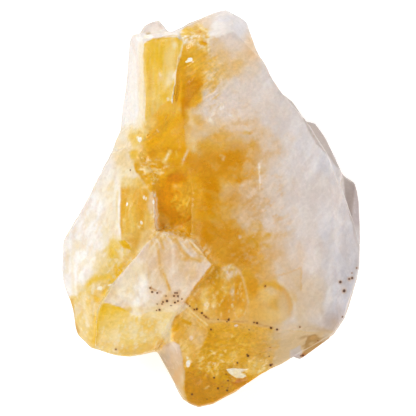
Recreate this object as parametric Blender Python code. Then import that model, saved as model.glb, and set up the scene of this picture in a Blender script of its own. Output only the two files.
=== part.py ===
"""A rough citrine crystal point: one natural stone of intergrown quartz, lying on its flat fracture.

+Z is up and +Y runs from the broad point to the twin-peaked neck. The origin is on the resting face, below the
middle of the stone. The stone is grown from convex blocks, each a hull of its corners cut by its crystal faces,
which are joined into one solid and then chipped by shell-shaped fractures.
Every length below is in millimetres, and MM turns it into metres.
"""

import bmesh
import bpy
from mathutils import Matrix, Vector

MM = 0.001
CROWN = 32.0  # how high a block reaches before its upper faces are cut
LEDGE_CROWN = 9.5
SPHERE_STEPS = 4  # subdivisions of the sphere that leaves a shell-shaped fracture
SCOOP_HEIGHT = 34.0

# Corners that neighbouring faces share, so that their ridges meet.
KNOB_LEFT = (-0.4, 21.3, 15.6)
KNOB_RIGHT = (2.6, 22.1, 15.2)
CREST_TOP = (0.2, 21.3, 15.5)
CREST_FOOT = (2.6, -6.0, 17.7)
FLANK_TOP = (-1.2, 21.3, 15.4)
FLANK_FOOT = (-0.8, -6.0, 17.5)
BREAK_TOP = (7.0, 14.0, 15.0)
BREAK_FOOT = (9.6, -15.0, 17.3)
MARGIN_TOP = (14.7, 6.7, 12.6)
MARGIN_MIDDLE = (15.3, -4.0, 13.6)
PIT_LIP = (-6.6, -2.8, 17.4)
PIT_CORNER = (-2.6, -3.9, 18.3)
FRONT_PEAK = (0.1, -7.0, 18.7)
FRONT_FOOT = (-3.4, -11.4, 17.2)
FRONT_MIDDLE = (-9.3, -13.0, 15.2)
LEFT_SHOULDER = (-12.4, -9.4, 14.8)
CRACK_LEFT = (-3.4, -11.7, 16.4)
CRACK_MIDDLE = (-0.4, -14.3, 17.0)
CRACK_RIGHT = (8.4, -15.0, 17.5)
POINT_RIDGE = (-3.1, -20.6, 12.4)
POINT_TIP = (-2.6, -24.5, 8.6)


def main_mass():
    """The broad right-hand crystal, from the neck's knob down to the lower point."""
    girdle = [
        (-4.9, 22.2, 9.0), (-1.4, 23.7, 9.3), (0.2, 24.6, 9.5), (1.8, 25.0, 9.6), (3.4, 24.2, 9.8),
        (4.4, 23.5, 9.9), (9.9, 13.5, 9.5), (11.4, 11.2, 9.5), (14.7, 6.7, 9.4), (16.7, 1.9, 9.2),
        (17.8, -1.4, 9.0), (18.7, -4.6, 8.6), (18.6, -7.2, 8.4), (18.2, -8.9, 8.4), (16.8, -13.7, 8.6),
        (15.4, -15.8, 9.0), (8.7, -19.3, 9.6), (2.1, -23.5, 7.6), (0.2, -24.6, 6.4), (-1.6, -25.0, 5.8),
        (-2.6, -24.6, 5.6), (-3.5, -24.0, 5.7), (-6.8, -17.9, 7.0), (-8.6, -4.0, 8.0), (-7.0, 12.0, 8.0),
    ]
    base = [
        (-7.0, -11.0, 0.0), (-8.0, -4.0, 0.0), (-6.0, 6.0, 0.0), (-2.5, 12.0, 0.0), (3.0, 12.5, 0.0),
        (8.0, 9.0, 0.0), (12.0, 3.0, 0.0), (13.5, -5.0, 0.0), (12.0, -11.0, 0.0), (7.0, -15.0, 0.0),
        (0.0, -17.0, 0.0),
    ]
    faces = [
        (CREST_TOP, BREAK_TOP, BREAK_FOOT),  # broad main face
        (BREAK_TOP, BREAK_FOOT, MARGIN_MIDDLE),  # milky right half of the main face
        (MARGIN_TOP, MARGIN_MIDDLE, (18.6, -6.5, 9.8)),  # right margin
        (CREST_TOP, CREST_FOOT, FLANK_FOOT),  # soft crest
        (FLANK_TOP, FLANK_FOOT, (-4.0, 8.0, 15.6)),  # amber flank, facing left
        (KNOB_LEFT, KNOB_RIGHT, (1.8, 25.0, 10.8)),  # knob's cap
        (KNOB_LEFT, (-3.4, 22.0, 13.4), (-1.4, 23.7, 11.5)),  # knob's left cap
        (KNOB_RIGHT, (5.4, 19.4, 14.9), (5.2, 22.4, 10.6)),  # knob's right cap
        (CRACK_MIDDLE, CRACK_RIGHT, POINT_TIP),  # lower right face of the point
        (CRACK_RIGHT, (13.1, -15.3, 15.6), (9.6, -18.4, 13.6)),  # lower right corner
        (CRACK_LEFT, CRACK_MIDDLE, POINT_RIDGE),  # lower left face of the point
        ((-4.2, -16.8, 13.8), POINT_RIDGE, (-5.6, -20.0, 8.3)),  # pale strip down the point's left side
    ]
    return block("main mass", girdle, base, 0.92, faces)


def neck_shoulder():
    """The small step on the right edge, where the neck widens into the body."""
    girdle = [(7.0, 15.6, 9.0), (8.7, 14.4, 9.2), (10.1, 13.5, 9.4), (11.4, 11.6, 9.4), (9.0, 9.0, 9.0)]
    base = [(7.5, 12.0, 3.0), (9.0, 10.0, 3.0)]
    faces = [((7.2, 15.0, 13.8), (9.7, 13.2, 13.2), (9.4, 10.0, 13.7))]
    return block("neck shoulder", girdle, base, 0.96, faces)


def neck_column():
    """The narrow yellow prism on the left of the neck."""
    girdle = [
        (-11.4, 9.4, 8.0), (-11.1, 12.0, 8.2), (-10.8, 16.2, 8.5), (-10.3, 20.8, 9.5), (-9.8, 21.9, 9.8),
        (-4.0, 22.2, 9.5), (-3.9, 20.6, 9.0), (-4.4, 17.2, 9.0), (-4.8, 14.0, 9.0), (-5.2, 12.9, 9.0),
        (-6.4, 11.4, 9.0), (-9.0, 8.0, 9.0),
    ]
    base = [(-9.0, 9.0, 3.0), (-8.2, 18.5, 5.0), (-4.5, 19.0, 5.0), (-4.5, 11.0, 3.0)]
    faces = [
        ((-3.9, 20.5, 15.3), (-5.0, 13.2, 15.8), (-8.4, 21.1, 14.1)),  # yellow face
        ((-8.4, 21.1, 14.1), (-8.4, 11.8, 14.9), (-10.7, 16.1, 9.6)),  # pale left strip
        ((-8.4, 21.1, 14.1), (-4.0, 21.5, 15.1), (-6.5, 22.3, 12.0)),  # broken top
    ]
    return block("neck column", girdle, base, 0.97, faces)


def neck_splinter():
    """The thin pale corner that stands behind the column's top."""
    girdle = [
        (-9.2, 21.6, 8.5), (-8.4, 22.9, 9.0), (-7.6, 23.3, 9.1), (-6.5, 23.6, 9.2), (-5.6, 22.4, 9.0),
        (-4.6, 20.0, 9.0), (-9.0, 19.0, 9.0),
    ]
    base = [(-8.2, 20.5, 6.0), (-5.6, 20.5, 6.0)]
    faces = [((-8.6, 22.3, 11.6), (-5.6, 22.2, 12.4), (-7.0, 19.5, 12.8))]
    return block("neck splinter", girdle, base, 0.96, faces)


def saddle():
    """The smooth amber slope between the neck and the pit."""
    girdle = [
        (-11.5, 9.6, 8.0), (-12.4, 7.4, 7.6), (-12.9, 5.8, 7.5), (-10.6, 3.6, 8.0), (-6.0, 0.0, 8.0),
        (-1.0, 2.0, 8.0), (-1.0, 12.0, 8.0), (-6.0, 13.5, 8.0), (-8.2, 10.4, 8.0),
    ]
    base = [(-9.0, 8.0, 1.5), (-8.0, 2.0, 1.0), (-3.0, 3.0, 1.0), (-4.0, 11.0, 1.5)]
    faces = [
        ((-3.4, 11.4, 15.3), (-3.4, 6.1, 15.9), (-7.6, 6.1, 15.1)),  # amber slope
        ((-8.4, 10.6, 14.5), (-9.8, 5.4, 14.8), (-12.4, 7.4, 9.6)),  # outer side
    ]
    return block("saddle", girdle, base, 0.96, faces)


def left_lobe():
    """The rounded lobe on the left, white outside and amber towards the middle."""
    girdle = [
        (-12.4, 7.4, 7.0), (-12.9, 5.8, 6.8), (-18.5, -4.1, 6.0), (-18.8, -7.6, 6.0), (-18.6, -9.0, 6.0),
        (-17.2, -14.6, 6.0), (-16.7, -15.8, 6.1), (-15.1, -17.4, 6.4), (-13.6, -17.9, 6.6),
        (-12.0, -18.4, 6.8), (-10.2, -18.6, 7.0), (-8.9, -18.4, 7.0), (-6.8, -17.9, 7.0), (-4.0, -12.0, 8.0),
        (-6.4, -2.5, 8.0), (-6.9, 3.3, 8.0), (-9.5, 8.2, 8.0),
    ]
    base = [
        (-9.5, 3.0, 0.8), (-13.0, -2.0, 0.8), (-14.0, -7.0, 0.8), (-12.5, -12.5, 0.8), (-8.0, -14.0, 0.8),
        (-5.0, -8.0, 0.8), (-5.0, 2.0, 0.8),
    ]
    faces = [
        ((-7.0, 3.3, 16.6), (-6.6, -2.5, 17.0), (-11.3, 2.9, 15.2)),  # amber face
        ((-11.3, 2.9, 15.2), (-11.3, -3.9, 15.4), (-17.3, -2.4, 9.6)),  # white outer side
        ((-11.3, -3.9, 15.4), (-7.6, -4.5, 16.6), (-14.3, -12.6, 11.6)),  # honey slope
        ((-14.3, -12.6, 11.6), (-17.0, -11.0, 9.6), (-15.0, -17.4, 7.6)),  # lower corner
        ((-12.4, 5.5, 13.0), (-9.6, 8.2, 14.4), (-8.0, 3.5, 16.5)),  # shoulder under the saddle
        ((-14.3, -12.6, 11.0), (-8.0, -13.5, 12.4), (-10.2, -18.6, 9.0)),  # lower front, behind the front crystal
    ]
    return block("left lobe", girdle, base, 0.94, faces)


def front_crystal():
    """The pale pyramid in front, whose long upper edge overhangs the lobe."""
    girdle = [
        (-6.7, -2.7, 9.0), (-7.7, -3.9, 9.0), (-10.4, -7.2, 9.0), (-12.4, -9.3, 9.0), (-13.6, -11.4, 8.8),
        (-14.2, -12.8, 8.6), (-14.6, -17.2, 8.0), (-12.7, -18.1, 8.0), (-10.2, -18.5, 8.0),
        (-7.0, -17.8, 8.2), (-4.2, -14.0, 9.0), (1.4, -7.4, 9.0), (-2.5, -1.8, 9.0),
    ]
    base = [(-7.0, -5.0, 2.0), (-11.0, -11.0, 2.0), (-10.0, -14.0, 2.2), (-5.0, -10.0, 2.0)]
    faces = [
        (PIT_LIP, FRONT_PEAK, LEFT_SHOULDER),  # pale front face
        (FRONT_FOOT, FRONT_MIDDLE, (-10.2, -18.6, 10.8)),  # yellow lower face
        (FRONT_PEAK, FRONT_FOOT, (-1.2, -9.5, 16.1)),  # short side above the golden dish
        (PIT_LIP, PIT_CORNER, (-4.4, -1.8, 13.5)),  # side towards the pit
        (PIT_CORNER, FRONT_PEAK, (-0.6, -4.9, 16.9)),  # side towards the main face
    ]
    return block("front crystal", girdle, base, 0.985, faces)


def upper_ledge():
    """The grey broken ledge that shows beyond the upper half of the main face's right edge."""
    girdle = [
        (11.0, 11.3, 5.5), (13.1, 10.8, 6.0), (14.4, 8.9, 6.2), (15.6, 6.4, 6.2), (16.6, 4.4, 6.0),
        (14.0, -2.0, 5.0), (8.0, 2.0, 5.0), (6.0, 8.0, 5.0),
    ]
    base = [(9.0, 8.0, 1.2), (13.0, 3.0, 1.0), (9.0, 0.0, 1.0)]
    faces = [((11.6, 10.6, 9.4), (15.4, 4.6, 8.8), (14.6, 8.9, 7.2))]
    return block("upper ledge", girdle, base, 0.98, faces, LEDGE_CROWN)


def middle_ledge():
    """The ledge's lower half, which stands further out and a little lower."""
    girdle = [
        (15.0, 4.6, 5.4), (16.6, 4.3, 5.6), (18.1, 3.3, 5.8), (18.6, 1.0, 5.6), (18.6, -2.0, 5.4),
        (18.8, -4.5, 5.4), (14.0, -6.0, 5.0), (10.0, -2.0, 5.0), (12.0, 4.0, 5.0),
    ]
    base = [(13.5, 2.4, 1.0), (15.2, -3.0, 1.2), (11.0, -2.0, 1.0)]
    faces = [
        ((15.4, 4.4, 8.2), (17.6, -2.6, 8.4), (18.0, 3.0, 6.8)),
        ((17.6, -2.6, 8.4), (18.6, -1.4, 6.4), (18.7, -4.4, 6.6)),
    ]
    return block("middle ledge", girdle, base, 0.98, faces, LEDGE_CROWN)


def lower_ledge():
    """The small sandy step that sticks out below the main face at the lower right."""
    girdle = [
        (10.3, -18.6, 6.4), (11.2, -18.9, 6.4), (12.8, -17.7, 6.6), (14.9, -16.3, 6.8), (15.6, -14.6, 6.8),
        (12.0, -12.0, 6.4), (9.6, -15.4, 6.4),
    ]
    base = [(11.5, -14.8, 1.5), (12.6, -12.6, 1.2), (10.3, -12.6, 1.5)]
    faces = [
        ((10.3, -18.2, 9.4), (15.2, -15.4, 9.0), (12.0, -14.0, 10.6)),
        ((10.2, -18.5, 8.4), (12.2, -17.8, 8.0), (11.2, -18.8, 7.2)),
    ]
    return block("lower ledge", girdle, base, 0.97, faces, 12.0)


def block(name, girdle, base, lean, faces, crown=CROWN):
    """A convex block: the hull of its base, its girdle, and the girdle raised and leant in, cut by its faces."""
    middle = sum((Vector(corner) for corner in girdle), Vector()) / len(girdle)
    bm = bmesh.new()
    for corner in [*base, *girdle]:
        bm.verts.new(corner)
    for x, y, _ in girdle:
        bm.verts.new((middle.x + (x - middle.x) * lean, middle.y + (y - middle.y) * lean, crown))
    keep_hull(bm)
    for corners in faces:
        cut_face(bm, *(Vector(corner) for corner in corners))
    bmesh.ops.dissolve_limit(bm, angle_limit=0.01, verts=bm.verts, edges=bm.edges)
    return new_object(name, bm)


def keep_hull(bm):
    hull = bmesh.ops.convex_hull(bm, input=bm.verts)
    bmesh.ops.delete(bm, geom=hull["geom_interior"], context="VERTS")


def cut_face(bm, first, second, third):
    """Cuts away all that lies above the plane through three points."""
    normal = (second - first).cross(third - first).normalized()
    if normal.z < 0:
        normal = -normal
    cut = bmesh.ops.bisect_plane(
        bm, geom=[*bm.verts, *bm.edges, *bm.faces], plane_co=first, plane_no=normal, clear_outer=True
    )
    rim = [item for item in cut["geom_cut"] if isinstance(item, bmesh.types.BMEdge)]
    if rim:
        bmesh.ops.contextual_create(bm, geom=rim)


def pit():
    """The cutter of the deep amber pit between the lobe, the front crystal and the main face."""
    rim = [(-7.0, 3.6), (-6.8, -4.4), (-2.6, -5.0), (-2.5, 2.9), (-4.0, 5.3), (-5.8, 5.6)]
    floor = [(-6.4, 2.6, 14.9), (-6.2, -3.4, 14.4), (-3.6, -3.6, 14.7), (-3.8, 3.4, 15.2)]
    bm = bmesh.new()
    for x, y in rim:
        bm.verts.new((x, y, CROWN))
        bm.verts.new((x, y, 16.3))
    for corner in floor:
        bm.verts.new(corner)
    keep_hull(bm)
    return new_object("pit", bm)


def chip(name, place, width, depth, lean=(0.0, 0.0, 1.0)):
    """The cutter of a shell-shaped fracture: a sphere that leaves a dish of this width and depth in a face."""
    half = width / 2
    radius = (half * half + depth * depth) / (2 * depth)
    centre = Vector(place) + Vector(lean).normalized() * (radius - depth)
    bm = bmesh.new()
    bmesh.ops.create_icosphere(bm, subdivisions=SPHERE_STEPS, radius=radius)
    bmesh.ops.translate(bm, vec=centre, verts=bm.verts)
    return new_object(name, bm)


def scoop(name, start, end, depth):
    """The cutter of a shallow hollow in the outline, which runs from start to end going round the stone
    clockwise as seen from above."""
    start, end = Vector((*start, 9.0)), Vector((*end, 9.0))
    chord = end - start
    radius = (chord.length_squared / 4 + depth * depth) / (2 * depth)
    outward = Vector((-chord.y, chord.x, 0.0)).normalized()
    bm = bmesh.new()
    bmesh.ops.create_icosphere(bm, subdivisions=SPHERE_STEPS, radius=radius)
    bmesh.ops.scale(bm, vec=(1.0, 1.0, SCOOP_HEIGHT / radius), verts=bm.verts)
    bmesh.ops.translate(bm, vec=(start + end) / 2 + outward * (radius - depth), verts=bm.verts)
    return new_object(name, bm)


def new_object(name, bm):
    bmesh.ops.transform(bm, matrix=Matrix.Scale(MM, 4), verts=bm.verts)
    bmesh.ops.recalc_face_normals(bm, faces=bm.faces)
    mesh = bpy.data.meshes.new(name)
    bm.to_mesh(mesh)
    bm.free()
    return bpy.data.objects.new(name, mesh)


def boolean(stone, helpers, other, operation):
    helpers.objects.link(other)
    other.hide_render = True
    other.display_type = "WIRE"
    modifier = stone.modifiers.new(f"{operation.lower()} {other.name}", "BOOLEAN")
    modifier.operation = operation
    modifier.object = other
    modifier.solver = "EXACT"


def citrine_material():
    material = bpy.data.materials.new("citrine")
    material.use_nodes = True
    shader = material.node_tree.nodes["Principled BSDF"]
    shader.inputs["Base Color"].default_value = (0.86, 0.58, 0.20, 1.0)
    shader.inputs["Roughness"].default_value = 0.18
    shader.inputs["Metallic"].default_value = 0.0
    shader.inputs["IOR"].default_value = 1.55
    return material


def build():
    for obj in list(bpy.data.objects):
        bpy.data.objects.remove(obj)
    stone_parts = bpy.data.collections.new("citrine crystal point")
    helpers = bpy.data.collections.new("growth blocks and cutters")
    bpy.context.scene.collection.children.link(stone_parts)
    bpy.context.scene.collection.children.link(helpers)

    stone = main_mass()
    stone.name = "citrine"
    stone.data.materials.append(citrine_material())
    stone_parts.objects.link(stone)
    body_hollows = [
        scoop("neck hollow", (4.5, 23.3), (8.6, 14.3), 0.55),
        scoop("lower right hollow", (14.4, -16.5), (2.1, -23.5), 0.7),
        chip("golden dish", (0.4, -10.8, 17.9), 8.8, 0.8, (-0.05, 0.0, 1.0)),
        chip("arch chip", (6.7, -12.8, 17.6), 7.4, 0.7, (0.15, -0.10, 1.0)),
    ]
    grown_behind = [
        saddle(), left_lobe(), neck_shoulder(), neck_column(), neck_splinter(),
        upper_ledge(), middle_ledge(), lower_ledge(),
    ]
    side_hollows = [
        pit(),
        scoop("left hollow", (-18.0, -3.3), (-12.4, 7.6), 0.45),
        scoop("lobe hollow", (-16.9, -15.4), (-18.7, -8.6), 0.35),
        chip("left wall chip", (-15.0, -3.5, 3.2), 6.5, 0.8, (-0.75, 0.25, -0.6)),
        chip("right wall chip", (15.8, -7.5, 4.0), 7.0, 0.9, (0.85, -0.15, -0.45)),
        chip("point chip", (2.0, -20.0, 3.4), 7.5, 0.9, (0.25, -0.65, -0.65)),
        chip("neck chip", (1.5, 18.5, 4.8), 6.0, 0.7, (0.0, 0.62, -0.78)),
    ]
    for other in body_hollows:
        boolean(stone, helpers, other, "DIFFERENCE")
    for other in grown_behind:
        boolean(stone, helpers, other, "UNION")
    for other in side_hollows:
        boolean(stone, helpers, other, "DIFFERENCE")
    boolean(stone, helpers, front_crystal(), "UNION")


build()
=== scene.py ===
import math

import bmesh
import bpy
import numpy as np
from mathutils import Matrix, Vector


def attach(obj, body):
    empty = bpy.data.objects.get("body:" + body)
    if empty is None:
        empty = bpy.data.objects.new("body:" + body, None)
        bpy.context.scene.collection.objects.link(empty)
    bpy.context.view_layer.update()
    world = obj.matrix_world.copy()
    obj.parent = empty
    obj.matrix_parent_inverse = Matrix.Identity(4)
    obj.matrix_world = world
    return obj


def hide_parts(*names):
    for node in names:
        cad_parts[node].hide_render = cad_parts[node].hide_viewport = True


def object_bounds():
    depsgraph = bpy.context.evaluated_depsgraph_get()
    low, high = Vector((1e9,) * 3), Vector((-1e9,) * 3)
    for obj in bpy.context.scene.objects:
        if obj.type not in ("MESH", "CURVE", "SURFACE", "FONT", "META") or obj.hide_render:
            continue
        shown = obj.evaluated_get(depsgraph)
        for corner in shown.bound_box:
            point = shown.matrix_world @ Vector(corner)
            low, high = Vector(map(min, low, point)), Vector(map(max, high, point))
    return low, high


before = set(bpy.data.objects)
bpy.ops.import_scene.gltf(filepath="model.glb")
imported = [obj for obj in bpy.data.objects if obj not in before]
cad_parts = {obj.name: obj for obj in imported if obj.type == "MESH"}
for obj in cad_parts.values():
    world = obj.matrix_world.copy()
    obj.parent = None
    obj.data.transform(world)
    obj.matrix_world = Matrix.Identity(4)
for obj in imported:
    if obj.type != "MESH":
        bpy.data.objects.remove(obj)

CAD_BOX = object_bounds()

MM = 0.001
GRAIN = 0.193  # mm between the stone's mesh points
POINTS_KEPT = 0.53  # share of all points left once the underside is thinned

# The face of the stone is marked out on a sheet of 416 by 416 squares: marks are (column, row) on it.
SHEET = 416
SQUARE = 0.1256  # mm
SHEET_COLUMN = 211  # the column and row that lie over the origin
SHEET_ROW = 209
SHEET_HEIGHT = 8.0  # mm above the floor: the height of the stone's outline
EYE_HEIGHT = 1100.0  # mm
EYE_DISTANCE = EYE_HEIGHT - SHEET_HEIGHT
SHEET_MIDDLE = SHEET / 2
EYE_X = (SHEET_MIDDLE - SHEET_COLUMN) * SQUARE  # mm
EYE_Y = (SHEET_ROW - SHEET_MIDDLE) * SQUARE  # mm

# Colours of the stone, as seen in white light, from 0 to 255.
WHITE = (255, 251, 244)
SNOW = (248, 241, 234)
PEARL = (238, 229, 222)
CREAM = (247, 236, 221)
MILK = (213, 203, 199)
COOL_MILK = (222, 218, 221)
WARM_MILK = (212, 195, 184)
BLUSH = (229, 208, 189)
PEACH = (228, 194, 148)
BUTTER = (243, 222, 180)
STRAW = (237, 206, 133)
LEMON = (233, 190, 70)
YELLOW = (227, 179, 42)
HONEY = (218, 165, 70)
SAFFRON = (223, 163, 36)
AMBER = (207, 143, 32)
DEEP_AMBER = (201, 131, 12)
PIT_AMBER = (202, 138, 0)
BURNT_AMBER = (194, 112, 0)
GOLD = (210, 156, 42)
OLD_GOLD = (198, 139, 0)
DARK_GOLD = (187, 127, 0)
SAND = (200, 172, 130)
BEIGE = (214, 190, 160)
ASH = (190, 176, 168)
MAUVE = (172, 156, 152)
TOFFEE = (211, 162, 98)
FAWN = (216, 186, 152)
ROSE = (234, 212, 196)
BROWN = (158, 118, 66)
RUST = (160, 96, 44)
SLATE = (166, 160, 164)
SPECK = (62, 36, 26)

ROOM_LIGHT = 1.04  # how bright a white face that looks up is in this room
LIGHT_FROM_LEFT = 0.28  # how much brighter it is when it looks to the left
LIGHT_FROM_BACK = 0.18
FLOOR_LIGHT = 0.20  # how much the pale floor adds to a steep side
STEEP = (0.45, 0.0)  # how far a side looks up where the floor begins to light it, and where it does fully
LEAST_ROOM_LIGHT = 0.8
FOLD_SHADE = 0.16  # how much darker it is deep in a fold
FOLD_DEPTH = (0.02, 0.35)  # mm
GLOSS_LIGHT = 0.010  # the light that the gloss adds to it
LIGHT_RANGE = (0.45, 1.6)  # the least and the most light that the paint makes up for
BRIGHTEST = 0.93  # no paint is whiter than this
CLEAR_LOSS = 1.3  # how much light a wholly clear spot loses
LEAST_CLARITY = 0.02
DEPTH_CLARITY = 0.14  # how much clearer the deepest colours are
COLOUR_DEPTH = (0.35, 0.95)  # from the palest clear colour to the deepest
GRIT = 0.052  # how much the fine grains change the colour where nothing more is said
STRANDS = 0.012  # how much the leaning strands do
DULL_SIDES = 0.22  # how much rougher the steep sides are

# Outlines of the crystal faces and patches.
PALE_STRIP = [
    (130, 40), (139, 34), (146, 40), (143, 60), (142, 85), (145, 118), (140, 132), (118, 140), (122, 100),
]
YELLOW_PRISM = [
    (144, 44), (152, 39), (178, 37), (183, 42), (179, 58), (177, 72), (174, 90), (173, 100), (162, 108),
    (150, 122), (145, 120), (146, 92), (143, 70),
]
TOP_BLOCK = [(138, 34), (140, 28), (159, 19), (168, 30), (184, 28), (180, 36), (152, 38), (144, 43)]
AMBER_VALLEY = [
    (184, 46), (197, 47), (202, 60), (202, 80), (197, 98), (188, 108), (185, 130), (180, 126), (177, 108),
    (175, 98), (177, 80), (180, 64),
]
KNOB_CAP = [(208, 39), (220, 35), (233, 30), (247, 24), (240, 14), (226, 8), (212, 12), (200, 20), (204, 32)]
AMBER_PLATE = [(160, 106), (171, 99), (177, 110), (183, 118), (185, 132), (185, 152), (162, 156), (147, 150),
               (141, 136), (149, 120)]
PIT = [(157, 188), (159, 176), (170, 168), (186, 166), (191, 176), (190, 219), (176, 226), (158, 231)]
AMBER_STRIP = [(112, 188), (128, 184), (140, 182), (147, 190), (150, 204), (148, 216), (149, 232), (144, 248),
               (134, 256), (126, 246), (112, 238)]
YELLOW_LENS = [(118, 241), (124, 240), (129, 245), (131, 250), (123, 248)]
STRAW_SLOPE = [(111, 240), (121, 240), (134, 248), (146, 246), (128, 266), (112, 283), (103, 302), (88, 300),
               (86, 283), (98, 270), (104, 250)]
PALE_FACE = [(151, 239), (158, 231), (170, 232), (190, 240), (200, 248), (212, 265), (184, 302), (178, 312),
             (150, 312), (137, 316), (122, 308), (104, 302), (112, 283), (128, 266)]
LOWER_LEFT_FACE = [
    (99, 306), (115, 303), (135, 312), (176, 312), (171, 326), (176, 342), (158, 352), (120, 362), (60, 352),
    (62, 300), (86, 290),
]
STRIP_OF_POINT = [
    (156, 354), (164, 345), (173, 341), (180, 344), (182, 358), (184, 370), (188, 386), (192, 410),
    (180, 410), (162, 382),
]
AMBER_FACE_OF_POINT = [
    (171, 326), (177, 316), (190, 306), (209, 324), (206, 338), (199, 353), (190, 368), (187, 374),
    (183, 366), (180, 345), (173, 341),
]
GOLD_FACE_OF_POINT = [
    (209, 324), (232, 322), (277, 330), (318, 333), (300, 352), (270, 372), (226, 400), (198, 412),
    (188, 410), (185, 386), (186, 373), (199, 352), (206, 338),
]
PETAL = [
    (212, 265), (222, 262), (232, 264), (241, 276), (247, 290), (248, 314), (230, 321), (205, 317),
    (190, 306), (184, 302),
]
PETAL_CAP = [(222, 267), (231, 264), (241, 274), (237, 277), (232, 281), (224, 276)]
CRESCENT = [(242, 270), (250, 272), (258, 280), (258.5, 288), (254, 298), (248, 302), (246, 292), (243, 280)]
ARCH = [
    (259, 282), (267, 280), (277, 283), (286, 290), (291, 300), (293, 310), (289, 320), (276, 324),
    (250, 322), (249, 308), (258, 296),
]
GOLDEN_MIDDLE = [(145, 42), (206, 36), (208, 84), (192, 112), (190, 150), (200, 176), (204, 236), (160, 240),
                 (124, 242), (122, 190), (140, 176), (132, 158), (146, 122)]
GOLDEN_FOOT = [(186, 232), (214, 236), (262, 262), (296, 300), (276, 334), (206, 330), (186, 306), (212, 266)]
MAIN_FACE = [(196, 46), (242, 50), (274, 106), (312, 168), (328, 240), (322, 312), (300, 316), (262, 268),
             (234, 258), (216, 250), (198, 224), (194, 165), (192, 110)]
SMALL_TRIANGLE = [(285, 274), (301, 268), (301, 291), (294, 283)]
UPPER_LEDGE = [(303, 118), (314, 118), (326, 130), (336, 150), (346, 172), (338, 168), (328, 156), (316, 143),
               (308, 130)]
MIDDLE_LEDGE = [
    (343, 174), (352, 178), (362, 190), (364, 244), (360, 252), (354, 236), (350, 214), (345, 194),
]
RIGHT_MARGIN = [
    (344, 188), (351, 216), (355, 240), (362, 254), (358, 290), (344, 330), (330, 342), (326, 330),
    (333, 300), (332, 262), (336, 232), (338, 205),
]
# The teardrop is a painted highlight on the golden face of the point.
TEARDROP = [
    (226.5, 370), (228, 368.8), (236, 369), (248, 369.6), (245, 371.6), (241, 373), (246.5, 376.6),
    (243, 378.6), (236, 378.6), (231, 376.4), (228, 373),
]
KNOB_SIDE = [(179, 32), (200, 22), (208, 32), (209, 52), (186, 50)]
RIPPLED_PATCH = [
    (135, 164), (140, 159), (160, 158), (170, 163), (168, 178), (156, 184), (147, 183), (137, 173),
]
PIT_WALL = [(149, 192), (154, 190), (157, 200), (158.5, 230), (152, 236), (148, 214)]
LEFT_LOBE = [
    (112, 165), (132, 170), (121, 195), (120, 235), (104, 250), (86, 280), (74, 300), (56, 290), (56, 230),
]
SLIP_ABOVE_PALE_FACE = [(142, 232), (157, 228), (160, 240), (150, 262), (134, 264)]
LOWER_STEP = [(276, 350), (302, 332), (334, 330), (342, 348), (302, 372), (270, 374)]
SANDY_SIDE_OF_STEP = [(302, 352), (306, 343), (314, 336), (330, 332), (334, 352), (303, 372)]
BROWN_SIDE_OF_STEP = [
    (303, 354), (305, 345), (307, 336), (315, 334), (320, 338), (331, 334), (328, 352), (303, 372),
]
GREY_SIDE_OF_STEP = [(290, 350), (300, 345), (302.5, 353), (302, 372), (289, 370)]

# Ridges, veins, folds and cracks.
PRISM_RIDGE = [
    (183, 38), (181, 50), (179, 59), (177, 70), (175.5, 80), (174, 90), (172.5, 99), (168, 105), (158, 117),
]
KNOB_RIDGE = [(207.5, 38), (208, 53)]
CAP_EDGE = [(208, 39), (220, 35), (233, 31)]
PIT_RIDGE = [(137, 176), (145, 186), (151, 196), (154.5, 206), (156, 218), (158, 229)]
BREAK_RIDGE = [(342, 192), (337, 212), (334, 240), (331, 262), (329, 300)]
DIAGONAL_RIDGE = [(151, 239), (128, 266), (112, 283), (104, 300)]
FRONT_RIDGE = [(212, 266), (184, 302)]
RUST_VEIN = [(157, 241), (159, 258), (163, 272), (166, 284), (169, 291)]
YELLOW_ARC = [(98, 318), (101, 309), (107, 305), (115, 305.5), (122, 308), (132, 305)]
LEFT_CREASE = [(99, 314), (97, 328), (94, 342)]
LEFT_EDGE_BAND = [(72, 300), (72.5, 310), (74, 322), (78, 332)]
WHITE_STREAK = [(76, 270), (75.5, 280), (76.5, 294)]
CRACK = [(185, 302), (190, 306), (197, 310), (203, 314), (209, 319)]
CRACK_TAIL = [(209, 319), (219, 319.5), (229, 320.5), (245, 322), (256, 323), (270, 327), (279, 330)]
PETAL_ARC = [(232, 264), (238, 270), (243, 279), (246, 290), (248, 302), (247, 313)]
LIGHT_LINE_ABOVE_POINT = [(186, 306), (197, 316), (208, 325)]
SECOND_LIGHT_LINE = [(184, 311), (196, 320), (205, 327)]
SHOULDER_STEP = [(175, 108), (160, 128), (143, 141), (133, 150)]
SHOULDER_CREASE = [(138, 148), (148, 160), (156, 172), (158, 180)]
VALLEY_EDGE = [(185, 44), (182, 60), (179, 74), (178, 100), (172, 110)]
NEEDLE = [(259.5, 164), (259.5, 189)]
UPPER_LEDGE_SHADE = [(316, 122), (328, 142), (338, 160)]
MIDDLE_LEDGE_SHADE = [(354, 184), (359, 204), (357, 222)]
VALLEY_FOLD = [(178, 76), (176, 106)]
SLOPE_RING = [(89, 296), (87, 288), (90, 282), (98, 278), (108, 277), (117, 280)]
LOWER_LEFT_FOLD = [(176, 313), (169, 328), (170, 340), (162, 350)]
FRINGE_OF_PALE_FACE = [(155, 236), (170, 233), (186, 238), (200, 248), (205, 254)]
AMBER_CORE = [(124, 192), (124, 234)]
PIT_CORNER = [(163, 190), (165, 222)]
FOOT_OF_PIT = [(157, 188), (158, 229), (176, 225), (190, 218)]
EDGE_OF_PALE_STRIP = [(144.5, 42), (144, 62), (144, 82), (147, 100), (147.5, 116)]
EDGE_OF_AMBER_STRIP = [(121.5, 190), (121.5, 232)]
LEFT_EDGE_OF_POINT = [(178, 312), (171, 326), (180, 345), (186, 372), (188, 388), (192, 404)]
RIDGE_OF_POINT = [(209, 324), (199, 352), (187, 373)]

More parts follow.
